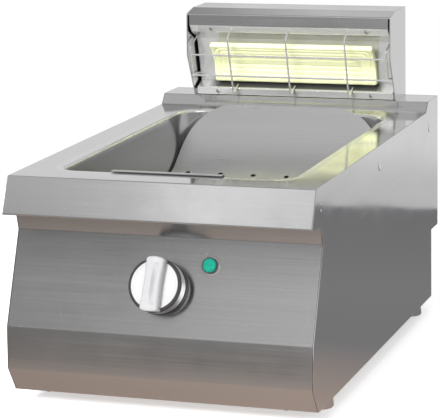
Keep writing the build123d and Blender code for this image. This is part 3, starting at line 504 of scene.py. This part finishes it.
def facingPoints(tree):
    # the facing stored on each point, and the turn that aims +Z along it
    stored = addNode(tree, "GeometryNodeInputNamedAttribute", {"Name": "facing"}, data_type="FLOAT_VECTOR")
    aim = addNode(tree, "FunctionNodeAlignRotationToVector", {"Vector": stored.outputs[0]}, axis="Z")
    return stored.outputs[0], aim.outputs[0]


def ballOf(tree, grid, radius=1.0):
    segments, rings = grid
    return addNode(tree, "GeometryNodeMeshUVSphere", {
        "Segments": segments, "Rings": rings, "Radius": radius}).outputs[0]


# ceramic trough element with nested looped ribs, in metres; the places of its
# middle and of the reflector's wall are section millimetres

trough = {
    "sizes": {
        "length": 0.245, "width": 0.06283, "thick": 0.008, "radius": 0.060, "tilt": math.radians(25.5),
        "corner": 0.0035, "loopCorner": 0.017, "firstGroove": 0.0055, "pitch": 0.0070, "groove": 0.0013,
        "edge": 0.0022},
    "middle": (563.8, 336.8), "halfAngle": math.radians(30), "wallTop": (574.0, 374.0),
    "wallFoot": (590.0, 309.0), "pad": (0.052, 0.023), "padSink": 0.0027, "boss": (0.042, 0.015),
    "bossDepth": 0.0148, "bossSink": 0.0005, "grid": (300, 112, 5), "ribSharpness": 3.5, "edgeLoss": 0.5,
    "faceShare": 0.45, "tiny": 1e-7,
}


def troughTree(look):
    sizes = look["sizes"]
    tree, get, end = newTree("loopedTrough", sizes)

    def do(kind, first, second=0.0):
        return calc(tree, kind, first, second)

    columns, rows, layers = look["grid"]
    slab = addNode(tree, "GeometryNodeMeshCube", {
        "Size": vectorOf(tree, get["length"], get["width"], get["thick"]),
        "Vertices X": columns, "Vertices Y": rows, "Vertices Z": layers})
    place = vertexPlace(tree)
    across, along = do("abs", place[0]), do("abs", place[1])
    halfLength, halfWidth = do("mul", get["length"], 0.5), do("mul", get["width"], 0.5)
    # corners in plan
    coreLength, coreWidth = do("sub", halfLength, get["corner"]), do("sub", halfWidth, get["corner"])
    overX = do("max", do("sub", across, coreLength), 0.0)
    overY = do("max", do("sub", along, coreWidth), 0.0)
    squared = do("add", do("mul", overX, overX), do("mul", overY, overY))
    reach = do("max", do("root", squared), look["tiny"])
    shrink = do("div", do("max", do("max", overX, overY), look["tiny"]), reach)
    newX = do("add", do("min", across, coreLength), do("mul", overX, shrink))
    newY = do("add", do("min", along, coreWidth), do("mul", overY, shrink))
    rim = do("min", do("sub", halfLength, across), do("sub", halfWidth, along))
    # distance inwards from the rounded outline that the loops follow
    pastX = do("sub", newX, do("sub", halfLength, get["loopCorner"]))
    pastY = do("sub", newY, do("sub", halfWidth, get["loopCorner"]))
    cornerX, cornerY = do("max", pastX, 0.0), do("max", pastY, 0.0)
    cornerReach = do("root", do("add", do("mul", cornerX, cornerX), do("mul", cornerY, cornerY)))
    flatReach = do("min", do("max", pastX, pastY), 0.0)
    inset = do("sub", get["loopCorner"], do("add", cornerReach, flatReach))
    turn = do("div", do("sub", inset, get["firstGroove"]), get["pitch"])
    wave = do("cos", do("mul", do("max", turn, -0.5), math.pi))    # flat outside the first groove
    dip = do("mul", do("pow", do("mul", wave, wave), look["ribSharpness"]), get["groove"])
    # rounded edges on both faces, grooves on the hollow one only
    rise = do("div", do("sub", get["edge"], do("min", rim, get["edge"])), get["edge"])
    bow = do("sub", 1.0, do("root", do("sub", 1.0, do("mul", rise, rise))))
    fullness = do("sub", 1.0, do("mul", bow, look["edgeLoss"]))
    front = do("more", place[2], do("mul", get["thick"], look["faceShare"]))
    height = do("sub", do("mul", place[2], fullness), do("mul", front, dip))
    # bent about the axis in front of it
    angle = do("add", get["tilt"], do("div", do("mul", newY, do("sign", place[1])), get["radius"]))
    radius = do("sub", do("add", get["radius"], do("mul", get["thick"], 0.5)), height)
    target = vectorOf(
        tree, do("mul", newX, do("sign", place[0])), do("mul", radius, do("cos", angle)),
        do("mul", radius, do("sin", angle)))
    bent = addNode(tree, "GeometryNodeSetPosition", {"Geometry": slab.outputs[0], "Position": target})
    facing = Vector((0, math.cos(sizes["tilt"]), math.sin(sizes["tilt"])))
    axis = spot(0, *look["middle"]) - facing * sizes["radius"] * math.cos(look["halfAngle"])
    seated = addNode(tree, "GeometryNodeTransform", {"Geometry": bent.outputs[0], "Translation": axis})
    # pad and boss behind, square to the reflector's back
    wall = (spot(0, *look["wallFoot"]) - spot(0, *look["wallTop"])).normalized()
    out = Vector((0, -wall.z, wall.y))
    back = axis + facing * (sizes["radius"] + sizes["thick"])
    depth = (spot(0, *look["wallTop"]) - back).dot(out)
    lean = math.atan2(out.z, out.y)
    parts = [seated.outputs[0]]
    blocks = (
        (look["pad"], -look["padSink"], depth),
        (look["boss"], depth - look["bossSink"], depth + look["bossDepth"]))
    for (wide, tall), near, far in blocks:
        block = addNode(tree, "GeometryNodeMeshCube", {"Size": (wide, far - near, tall)})
        parts.append(addNode(tree, "GeometryNodeTransform", {
            "Geometry": block.outputs[0], "Translation": back + out * (near + far) / 2,
            "Rotation": (lean, 0, 0)}).outputs[0])
    closeTree(tree, end, joined(tree, *parts), "glaze")
    return tree


built("ceramicTrough", pathMesh("troughBase", [], [Vector()]), troughTree(trough), trough["sizes"],
      smooth=40, stands=("ceramic_element",))
print("ceramic element built")

# wire guard: hoops, end bars and rails, with a bead at each crossing

guard = {
    "sizes": {"wire": 0.0014, "bend": 0.0028, "bead": 0.0019},
    "sides": 14, "steps": 6, "beadShape": (1.15, 0.9, 1.15), "beadGrid": (16, 10),
    "hoops": (-87.0, 0.0, 87.0), "ends": (-146.5, 146.5), "railOver": 1.4, "beadAhead": 1.2,
    "hoop": ((547.0, 389.2), (531.0, 378.8), (554.2, 294.8), (577.5, 305.0)),
    "end": ((567.4, 375.6), (536.0, 364.5), (548.3, 324.0), (586.7, 319.8)),
    "rails": ((541.0, 352.5), (549.6, 321.5)),
}


def guardTree(look):
    tree, get, end = newTree("bentRods", look["sizes"])
    alone = addNode(tree, "FunctionNodeCompare", {
        2: addNode(tree, "GeometryNodeInputMeshVertexNeighbors").outputs["Vertex Count"], 3: 0},
        data_type="INT", operation="EQUAL")
    curves = addNode(tree, "GeometryNodeMeshToCurve", {0: get["Geometry"]})
    bent = addNode(tree, "GeometryNodeFilletCurve", {
        "Curve": curves.outputs[0], "Radius": get["bend"], "Count": look["steps"]}, mode="POLY")
    ring = addNode(tree, "GeometryNodeCurvePrimitiveCircle", {
        "Resolution": look["sides"], "Radius": get["wire"]}, mode="RADIUS")
    rods = addNode(tree, "GeometryNodeCurveToMesh", {
        "Curve": bent.outputs[0], "Profile Curve": ring.outputs[0], "Fill Caps": True})
    beads = addNode(tree, "GeometryNodeInstanceOnPoints", {
        "Points": get["Geometry"], "Selection": alone.outputs[0],
        "Instance": ballOf(tree, look["beadGrid"], get["bead"]), "Scale": look["beadShape"]})
    closeTree(tree, end, smoothed(tree, joined(tree, rods.outputs[0], beads.outputs[0])), "wireSteel")
    return tree


def guardPaths(look):
    paths = [[spot(x, *point) for point in look["hoop"]] for x in look["hoops"]]
    paths += [[spot(x, *point) for point in look["end"]] for x in look["ends"]]
    reach = look["ends"][1] + look["railOver"]
    paths += [[spot(-reach, *rail), spot(reach, *rail)] for rail in look["rails"]]
    crossings = (*look["hoops"], *look["ends"])
    beads = [spot(x, y - look["beadAhead"], z) for y, z in look["rails"] for x in crossings]
    return paths, beads


built("wireGuard", pathMesh("guardBase", *guardPaths(guard)), guardTree(guard), guard["sizes"],
      smooth=50, stands=("wire_guard",))
print("wire guard built")

# screws with a driven cross, on the places of the CAD screws

screws = {
    "sizes": {"rise": 0.0024, "shank": 0.0062},
    "heads": {
        "reflector_screws": {"radius": 0.0036, "faces": ((0, -0.7547, -0.6561), (0, -1, 0))},
        "hood_screws": {"radius": 0.0036, "faces": ((0, 1, 0),)},
        "rear_cover_screws": {"radius": 0.0036, "faces": ((0, 1, 0),)},
        "back_panel_screws": {"radius": 0.0036, "faces": ((0, 1, 0),)},
        "front_panel_screws": {"radius": 0.0045, "faces": ((0, 0, -1),)}},
    "dome": (28, 16), "under": -0.08, "slotLong": 1.05, "slotWide": 0.24, "slotLift": 0.95,
    "shankSides": 16, "shankShare": 0.5, "rimShare": 0.9,
}


def islands(mesh):
    # vertex places of each loose part of a mesh
    keys = [tuple(round(c, 6) for c in vertex.co) for vertex in mesh.vertices]
    parent = {key: key for key in keys}

    def root(key):
        while parent[key] != key:
            parent[key] = parent[parent[key]]
            key = parent[key]
        return key

    for edge in mesh.edges:
        parent[root(keys[edge.vertices[0]])] = root(keys[edge.vertices[1]])
    groups = {}
    for key in parent:
        groups.setdefault(root(key), []).append(Vector(key))
    return list(groups.values())


def offAxis(point, middle, axis):
    return ((point - middle) - axis * (point - middle).dot(axis)).length


def headPlaces(head, node):
    # under-head point and facing of each screw in a CAD node
    places, facings = [], []
    for points in islands(nodes[node].data):
        middle = sum(points, Vector()) / len(points)
        axes = [Vector(facing).normalized() for facing in head["faces"]]
        axis = min(axes, key=lambda axis: max(offAxis(p, middle, axis) for p in points))
        wide = [p for p in points if offAxis(p, middle, axis) > screws["rimShare"] * head["radius"]]
        centre = sum(wide, Vector()) / len(wide)
        top = max(p.dot(axis) for p in points)
        centre += axis * (top - screws["sizes"]["rise"] - centre.dot(axis))
        places.append(centre)
        facings.append(axis)
    return places, facings


def screwTree(shape):
    tree, get, end = newTree("drivenHeads", ("radius", *shape["sizes"]))
    place = vertexPlace(tree)
    flat = vectorOf(
        tree, calc(tree, "mul", place[0], get["radius"]), calc(tree, "mul", place[1], get["radius"]),
        calc(tree, "mul", calc(tree, "max", place[2], shape["under"]), get["rise"]))
    dome = addNode(tree, "GeometryNodeSetPosition", {
        "Geometry": ballOf(tree, shape["dome"]), "Position": flat})
    long, thin = (calc(tree, "mul", get["radius"], shape[key]) for key in ("slotLong", "slotWide"))
    lift = vectorOf(tree, z=calc(tree, "mul", get["rise"], shape["slotLift"]))
    driven = tree.nodes.new("GeometryNodeMeshBoolean")
    driven.operation = "DIFFERENCE"
    tree.links.new(dome.outputs[0], driven.inputs[0])
    for wide, tall in ((long, thin), (thin, long)):
        cube = addNode(tree, "GeometryNodeMeshCube", {"Size": vectorOf(tree, wide, tall, get["rise"])})
        slotCube = addNode(tree, "GeometryNodeTransform", {"Geometry": cube.outputs[0], "Translation": lift})
        tree.links.new(slotCube.outputs[0], driven.inputs[1])
    rod = addNode(tree, "GeometryNodeMeshCylinder", {
        "Vertices": shape["shankSides"], "Radius": calc(tree, "mul", get["radius"], shape["shankShare"]),
        "Depth": get["shank"]})
    sink = vectorOf(tree, z=calc(tree, "mul", get["shank"], -0.5))
    rodDown = addNode(tree, "GeometryNodeTransform", {"Geometry": rod.outputs[0], "Translation": sink})
    placed = addNode(tree, "GeometryNodeInstanceOnPoints", {
        "Points": get["Geometry"], "Instance": joined(tree, driven.outputs[0], rodDown.outputs[0]),
        "Rotation": facingPoints(tree)[1]})
    closeTree(tree, end, placed.outputs[0], "screwSteel")
    return tree


drivenHeads = screwTree(screws)
for node, head in screws["heads"].items():
    first, *others = node.split("_")
    name = first + "".join(part.capitalize() for part in others)
    built(name, pathMesh(name + "Base", [], *headPlaces(head, node)), drivenHeads,
          {"radius": head["radius"], **screws["sizes"]}, smooth=35, stands=(node,))
print("screws built")

# knob front: a disc with a waisted grip that is scooped along its crest; sizes
# are millimetres, places are given along the control face and off it

controlFace = {"foot": (-21.6, 87.4), "top": (25.5, 202.2), "dialUp": 60.0}
faceLean = math.atan2(*(top - foot for top, foot in zip(controlFace["top"], controlFace["foot"])))
dialTurns = 96
dialSharp = math.radians(35)
dialFront = {
    "disc": {
        "radius": 30.3, "near": 24.0, "far": 28.0, "edge": 0.7, "edgeSteps": 6,
        "dish": ((2.0, 0.0), (2.5, 0.35), (6.0, 0.55)), "dishMiddle": 0.3},
    "grip": {
        "foot": 27.0, "reach": 13.0, "half": 33.5, "crown": 0.6, "endWidth": 12.8, "endRound": 2.8,
        "endCurve": 38.0, "endFall": 0.5, "waist": 11.4, "round": 5.6, "roundShare": 0.7, "roundSteps": 8,
        "bow": 3.2, "topSteps": 24, "scoop": 3.4, "scoopAt": 0.38, "scoopHalf": 0.46, "scoopReach": 0.78,
        "scoopPower": 1.2, "stations": 72, "turned": math.radians(2.6)},
}
dialRings = {
    "dialBarrel": {
        "look": "chrome", "slot": "knob_chrome",
        "profile": [
            (3.0, 7.3), (33.0, 7.3), (33.4, 7.9), (32.7, 14.0), (31.6, 20.0), (30.9, 23.0), (3.0, 23.0)]},
    "dialRim": {
        "look": "blackPlastic", "slot": "knob_black", "stands": "knob_body",
        "profile": [
            (3.0, 22.9), (33.2, 22.9), (34.0, 23.6), (34.0, 26.2), (33.7, 26.8), (33.0, 27.2), (31.2, 27.2),
            (30.6, 26.8), (30.5, 23.9), (3.0, 23.9)]},
}


def facePoint(x, up, off):
    # place off the control face, from the dial's axis
    footY, footZ = controlFace["foot"]
    rise = controlFace["dialUp"] + up
    return spot(x, footY + rise * math.sin(faceLean) - off * math.cos(faceLean),
                footZ + rise * math.cos(faceLean) + off * math.sin(faceLean))


def gripPoint(look, u, t, off):
    # the grip stands a little past upright, and its ends follow the disc
    t *= math.sqrt(1 - (u / look["endCurve"]) ** 2)
    c, s = math.cos(look["turned"]), math.sin(look["turned"])
    return facePoint(u * c + t * s, t * c - u * s, off)


def discProfile(look):
    # (radius, off the panel) from the back edge round to the dish
    radius, far, edge = look["radius"], look["far"], look["edge"]
    profile = [(radius, look["near"])]
    for k in range(look["edgeSteps"] + 1):
        turn = math.pi / 2 * k / look["edgeSteps"]
        profile.append((radius - edge * (1 - math.cos(turn)), far - edge * (1 - math.sin(turn))))
    return profile + [(radius - inwards, far - drop) for inwards, drop in look["dish"]]


def gripLoop(look, t):
    # outline across the grip at one station along it: (across, off the panel)
    left = max(0.0, look["endRound"] - (look["half"] + look["crown"] - abs(t)))
    shrink = look["endRound"] - math.sqrt(max(0.0, look["endRound"] ** 2 - left ** 2))
    share = t / look["half"]
    wide = look["waist"] + (look["endWidth"] - look["waist"]) * share * share - shrink
    tall = look["reach"] - look["endFall"] * share * share - shrink
    soft = min(look["round"], look["roundShare"] * wide)
    flat = wide - soft
    sag = look["bow"] * (flat / wide) ** 2
    corner = []
    for k in range(look["roundSteps"] + 1):
        turn = math.pi / 2 * k / look["roundSteps"]
        corner.append((wide - soft * (1 - math.cos(turn)), tall - sag - soft * (1 - math.sin(turn))))
    along = max(0.0, 1 - (t / (look["scoopReach"] * look["half"])) ** 2)
    crest = []
    for k in range(1, look["topSteps"]):
        u = flat * (1 - 2 * k / look["topSteps"])
        bow = look["bow"] * (1 - (u / wide) ** 2) - look["bow"]
        place = (u / wide - look["scoopAt"]) / look["scoopHalf"]
        hollow = look["scoop"] * math.sqrt(along) * max(0.0, 1 - place * place) ** look["scoopPower"]
        crest.append((u, tall + bow - hollow))
    loop = [(wide, 0.0), *corner, *crest, *((-u, h) for u, h in reversed(corner)), (-wide, 0.0)]
    return [(u, look["foot"] + h) for u, h in loop]


def turnedPoints(profile):
    points = []
    for k in range(dialTurns):
        angle = 2 * math.pi * k / dialTurns
        points += [facePoint(r * math.cos(angle), r * math.sin(angle), off) for r, off in profile]
    return points


def turnedFaces(count, closed):
    # faces between neighbouring copies of a turned profile
    faces = []
    for k in range(dialTurns):
        here, after = k * count, (k + 1) % dialTurns * count
        for j in range(count if closed else count - 1):
            beside = (j + 1) % count
            faces.append((here + j, after + j, after + beside, here + beside))
    return faces


def turnedMesh(name, points, faces, *materials):
    mesh = bpy.data.meshes.new(name)
    mesh.from_pydata([tuple(p) for p in points], [], faces)
    for material in materials:
        mesh.materials.append(looks[material])
    mesh.shade_smooth()
    mesh.set_sharp_from_angle(angle=dialSharp)
    return mesh


def dialMesh(look):
    disc, grip = look["disc"], look["grip"]
    profile = discProfile(disc)
    count = len(profile)
    points, faces = turnedPoints(profile), turnedFaces(count, False)
    back, front = len(points), len(points) + 1
    points += [facePoint(0, 0, disc["near"]), facePoint(0, 0, disc["far"] - disc["dishMiddle"])]
    for k in range(dialTurns):
        here, after = k * count, (k + 1) % dialTurns * count
        faces += [(after, here, back), (here + count - 1, after + count - 1, front)]
    first, last = len(points), grip["stations"]
    reach = grip["half"] + grip["crown"]
    stations = [-reach * math.cos(math.pi * k / last) for k in range(last + 1)]
    loops = [[gripPoint(grip, u, t, off) for u, off in gripLoop(grip, t)] for t in stations]
    size = len(loops[0])
    points += [p for loop in loops for p in loop]
    for k in range(last):
        for j in range(size):
            a, b = first + k * size + j, first + k * size + (j + 1) % size
            faces.append((a, b, b + size, a + size))
    for end in (0, last):
        middle = len(points)
        points.append(sum(loops[end], Vector()) / size)
        for j in range(size):
            a, b = first + end * size + j, first + end * size + (j + 1) % size
            faces.append((a, b, middle) if end else (b, a, middle))
    mesh = turnedMesh("dialFront", points, faces, "dialWhite", "silverLacquer")
    for face in mesh.polygons:
        face.material_index = int(min(face.vertices) >= first)
    return mesh


def ridesKnob(name, mesh, node):
    piece = bpy.data.objects.new(name, mesh)
    scene.collection.objects.link(piece)
    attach(piece, "knob")
    if node:
        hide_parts(node)


ridesKnob("dialFront", dialMesh(dialFront), "knob_plate")
for name, ring in dialRings.items():
    profile = ring["profile"]
    mesh = turnedMesh(name, turnedPoints(profile), turnedFaces(len(profile), True), ring["look"])
    ridesKnob(name, mesh, ring.get("stands"))
print("dial built")

# weld marks on the side panels, each a raised ring round a dip: (y, z, radius)

weldMarks = {
    "sizes": {"height": 0.0011},
    "places": (
        (296.0, 249.5, 7.5), (577.0, 252.0, 7.5), (17.0, 255.5, 4.0), (17.0, 246.5, 2.2), (42.0, 249.0, 1.5)),
    "grid": (40, 20), "sink": 0.00005, "ripple": 1.4, "dip": 0.75, "under": -0.1,
}


def markTree(look):
    tree, get, end = newTree("weldMarks", look["sizes"])
    place = vertexPlace(tree)
    ring = calc(tree, "root", calc(
        tree, "add", calc(tree, "mul", place[0], place[0]), calc(tree, "mul", place[1], place[1])))
    swell = calc(tree, "pow", calc(tree, "cos", calc(tree, "mul", ring, look["ripple"])), 2.0)
    left = calc(tree, "sub", 1.0, calc(tree, "mul", swell, look["dip"]))
    lifted = calc(tree, "mul", calc(tree, "max", place[2], look["under"]), left)
    shape = vectorOf(tree, place[0], place[1], lifted)
    mark = addNode(tree, "GeometryNodeSetPosition", {
        "Geometry": ballOf(tree, look["grid"]), "Position": shape})
    facing, aim = facingPoints(tree)
    width = addNode(tree, "ShaderNodeVectorMath", {0: facing}, operation="LENGTH").outputs["Value"]
    marks = addNode(tree, "GeometryNodeInstanceOnPoints", {
        "Points": get["Geometry"], "Instance": mark.outputs[0], "Rotation": aim,
        "Scale": vectorOf(tree, width, width, get["height"])})
    closeTree(tree, end, smoothed(tree, marks.outputs[0]), "screwSteel")
    return tree


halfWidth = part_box("side_panel_right")[1].x
markPlaces, markFacings = [], []
for side in (-1, 1):
    for y, z, radius in weldMarks["places"]:
        where = spot(0, y, z)
        where.x = side * (halfWidth - weldMarks["sink"])
        markPlaces.append(where)
        markFacings.append(Vector((side * radius / 1000, 0, 0)))
built("sideWeldMarks", pathMesh("markBase", [], markPlaces, markFacings), markTree(weldMarks),
      weldMarks["sizes"], smooth=60)
print("weld marks built")

# floor: pale to the eye, and the tones that the lower sheets reflect, from the
# front of the floor to its back

floorLook = {
    "near": (-1.3, -2.6), "far": (1.9, 0.985), "below": 0.0008, "tone": (0.90, 0.90, 0.90), "dark": 0.97,
    "glow": 0.5, "span": (-2.0, 1.0), "across": (0.80, 1.22, -0.55, 0.15),
    "reflected": [
        (-1.20, (0.25, 0.242, 0.242)), (-0.87, (0.175, 0.164, 0.159)), (-0.60, (0.187, 0.17, 0.16)),
        (-0.555, (0.21, 0.186, 0.173)), (-0.53, (0.38, 0.318, 0.285)), (-0.44, (0.40, 0.332, 0.296)),
        (-0.38, (0.39, 0.308, 0.264)), (-0.27, (0.39, 0.303, 0.258)), (0.10, (0.18, 0.179, 0.184)),
        (0.40, (0.192, 0.187, 0.187)), (0.985, (0.152, 0.152, 0.159))],
}


def makeFloor(look):
    (left, front), (right, back), z = look["near"], look["far"], -look["below"]
    mesh = bpy.data.meshes.new("floor")
    corners = [(left, front, z), (right, front, z), (right, back, z), (left, back, z)]
    mesh.from_pydata(corners, [], [(0, 1, 2, 3)])
    floor = bpy.data.objects.new("floor", mesh)
    scene.collection.objects.link(floor)
    material = bpy.data.materials.new("floorSurface")
    material.use_nodes = True
    tree = material.node_tree
    tree.nodes.clear()
    tint = mottled(tree, objectPattern(tree, size=3.0), look["tone"], look["dark"])
    matt = addNode(tree, "ShaderNodeBsdfDiffuse", {"Color": tint})
    glow = addNode(tree, "ShaderNodeEmission", {"Color": (1, 1, 1, 1), "Strength": look["glow"]})
    lifted = addNode(tree, "ShaderNodeAddShader", {0: matt.outputs[0], 1: glow.outputs[0]})
    place = parted(tree, objectPlace(tree))
    low, high = look["span"]
    stops = [((y - low) / (high - low), colour) for y, colour in look["reflected"]]
    dim = addNode(tree, "ShaderNodeEmission", {
        "Color": rampOf(tree, ranged(tree, place["Y"], 0.0, 1.0, low, high), stops),
        "Strength": ranged(tree, place["X"], *look["across"])})
    seen = addNode(tree, "ShaderNodeMixShader", {
        0: rayIs(tree, "Is Camera Ray", "Is Transmission Ray"), 1: matt.outputs[0], 2: lifted.outputs[0]})
    whole = addNode(tree, "ShaderNodeMixShader", {
        0: rayIs(tree, "Is Glossy Ray"), 1: seen.outputs[0], 2: dim.outputs[0]})
    out = addNode(tree, "ShaderNodeOutputMaterial")
    tree.links.new(whole.outputs[0], out.inputs[0])
    mesh.materials.append(material)


# surroundings: "front" and "back" give brightness by the sine of the height
# above the horizon, and the next three scale it by how far to the side a
# direction turns, where "lowToHigh" and "backRises" say at which heights

room = {
    "front": [
        (-1.0, 0.34), (-0.15, 0.25), (0.0, 0.31), (0.22, 0.56), (0.38, 0.47), (0.46, 0.46), (0.495, 0.42),
        (0.52, 0.34), (0.545, 0.40), (0.575, 1.04), (0.62, 0.98), (0.78, 0.84), (0.88, 1.05), (1.0, 0.72)],
    "back": [
        (-1.0, 0.50), (-0.30, 0.55), (-0.194, 0.62), (-0.18, 0.84), (-0.15, 0.77), (-0.10, 0.75),
        (0.10, 0.74), (0.25, 0.68), (0.45, 0.52), (0.57, 0.38), (0.70, 0.50), (1.0, 0.58)],
    "lowFront": [
        (-0.46, 0.61), (-0.40, 0.68), (-0.385, 0.70), (-0.376, 0.92), (-0.366, 1.12), (-0.28, 1.14),
        (-0.25, 1.55), (-0.15, 1.5), (0.15, 1.2), (0.26, 3.4), (0.70, 3.4), (0.80, 1.0)],
    "highFront": [
        (-0.46, 0.48), (-0.445, 0.54), (-0.432, 0.65), (-0.423, 0.78), (-0.413, 0.88), (-0.40, 0.90),
        (-0.375, 0.845), (-0.351, 0.74), (-0.33, 0.66), (-0.15, 0.64)],
    "highBack": [
        (-0.43, 0.48), (-0.39, 0.50), (-0.358, 0.85), (-0.342, 1.40), (-0.32, 1.55), (-0.305, 1.50),
        (-0.29, 1.38)],
    "frontToBack": (-0.25, 0.25), "lowToHigh": (0.53, 0.565), "backRises": (0.35, 0.5), "blue": 1.01,
}


def roomRamp(tree, place, stops):
    tones = [((end + 1) / 2, (level, level, level * room["blue"])) for end, level in stops]
    return rampOf(tree, ranged(tree, place, 0.0, 1.0, -1.0, 1.0), tones)


def makeWorld():
    world = bpy.data.worlds.new("studio")
    scene.world = world
    world.use_nodes = True
    tree = world.node_tree
    tree.nodes.clear()
    way = parted(tree, addNode(tree, "ShaderNodeTexCoord").outputs["Generated"])
    flat = vectorOf(tree, way["X"], way["Y"])
    aside = addNode(tree, "ShaderNodeVectorMath", {0: flat}, operation="NORMALIZE")
    turn = parted(tree, aside.outputs[0])["X"]
    tall = ranged(tree, way["Z"], 0.0, 1.0, *room["lowToHigh"])
    level = blend(tree, tall, roomRamp(tree, turn, room["lowFront"]), roomRamp(tree, turn, room["highFront"]))
    front = scaled(tree, roomRamp(tree, way["Z"], room["front"]), level)
    above = ranged(tree, way["Z"], 0.0, 1.0, *room["backRises"])
    behind = blend(tree, above, (1, 1, 1), roomRamp(tree, turn, room["highBack"]))
    back = blend(tree, 1.0, roomRamp(tree, way["Z"], room["back"]), behind, blend_type="MULTIPLY")
    around = blend(tree, ranged(tree, way["Y"], 0.0, 1.0, *room["frontToBack"]), front, back)
    lit = addNode(tree, "ShaderNodeBackground", {"Color": around, "Strength": 1.0})
    white = addNode(tree, "ShaderNodeBackground", {"Color": (1, 1, 1, 1), "Strength": 1.0})
    both = addNode(tree, "ShaderNodeMixShader", {
        0: rayIs(tree, "Is Camera Ray", "Is Transmission Ray"), 1: lit.outputs[0], 2: white.outputs[0]})
    out = addNode(tree, "ShaderNodeOutputWorld")
    tree.links.new(both.outputs[0], out.inputs[0])


lamps = [
    {"name": "topSoftbox", "at": (0.2, -0.3, 2.6), "size": (1.6, 1.2), "power": 14.0},
    {"name": "frontSoftbox", "at": (-0.5, -2.6, 1.45), "size": (1.2, 0.8), "power": 132.0},
]
lampAim = Vector((0, 0, 0.25))


def makeLamp(lamp):
    data = bpy.data.lights.new(lamp["name"], "AREA")
    data.shape = "RECTANGLE"
    data.size, data.size_y = lamp["size"]
    data.energy = lamp["power"]
    light = bpy.data.objects.new(lamp["name"], data)
    turn = (lampAim - Vector(lamp["at"])).to_track_quat("-Z", "Y").to_matrix()
    light.matrix_world = Matrix.Translation(lamp["at"]) @ turn.to_4x4()
    light.visible_glossy = False
    scene.collection.objects.link(light)


makeFloor(floorLook)
makeWorld()
for lamp in lamps:
    makeLamp(lamp)
scene.view_settings.view_transform = "Standard"
print("stage set")
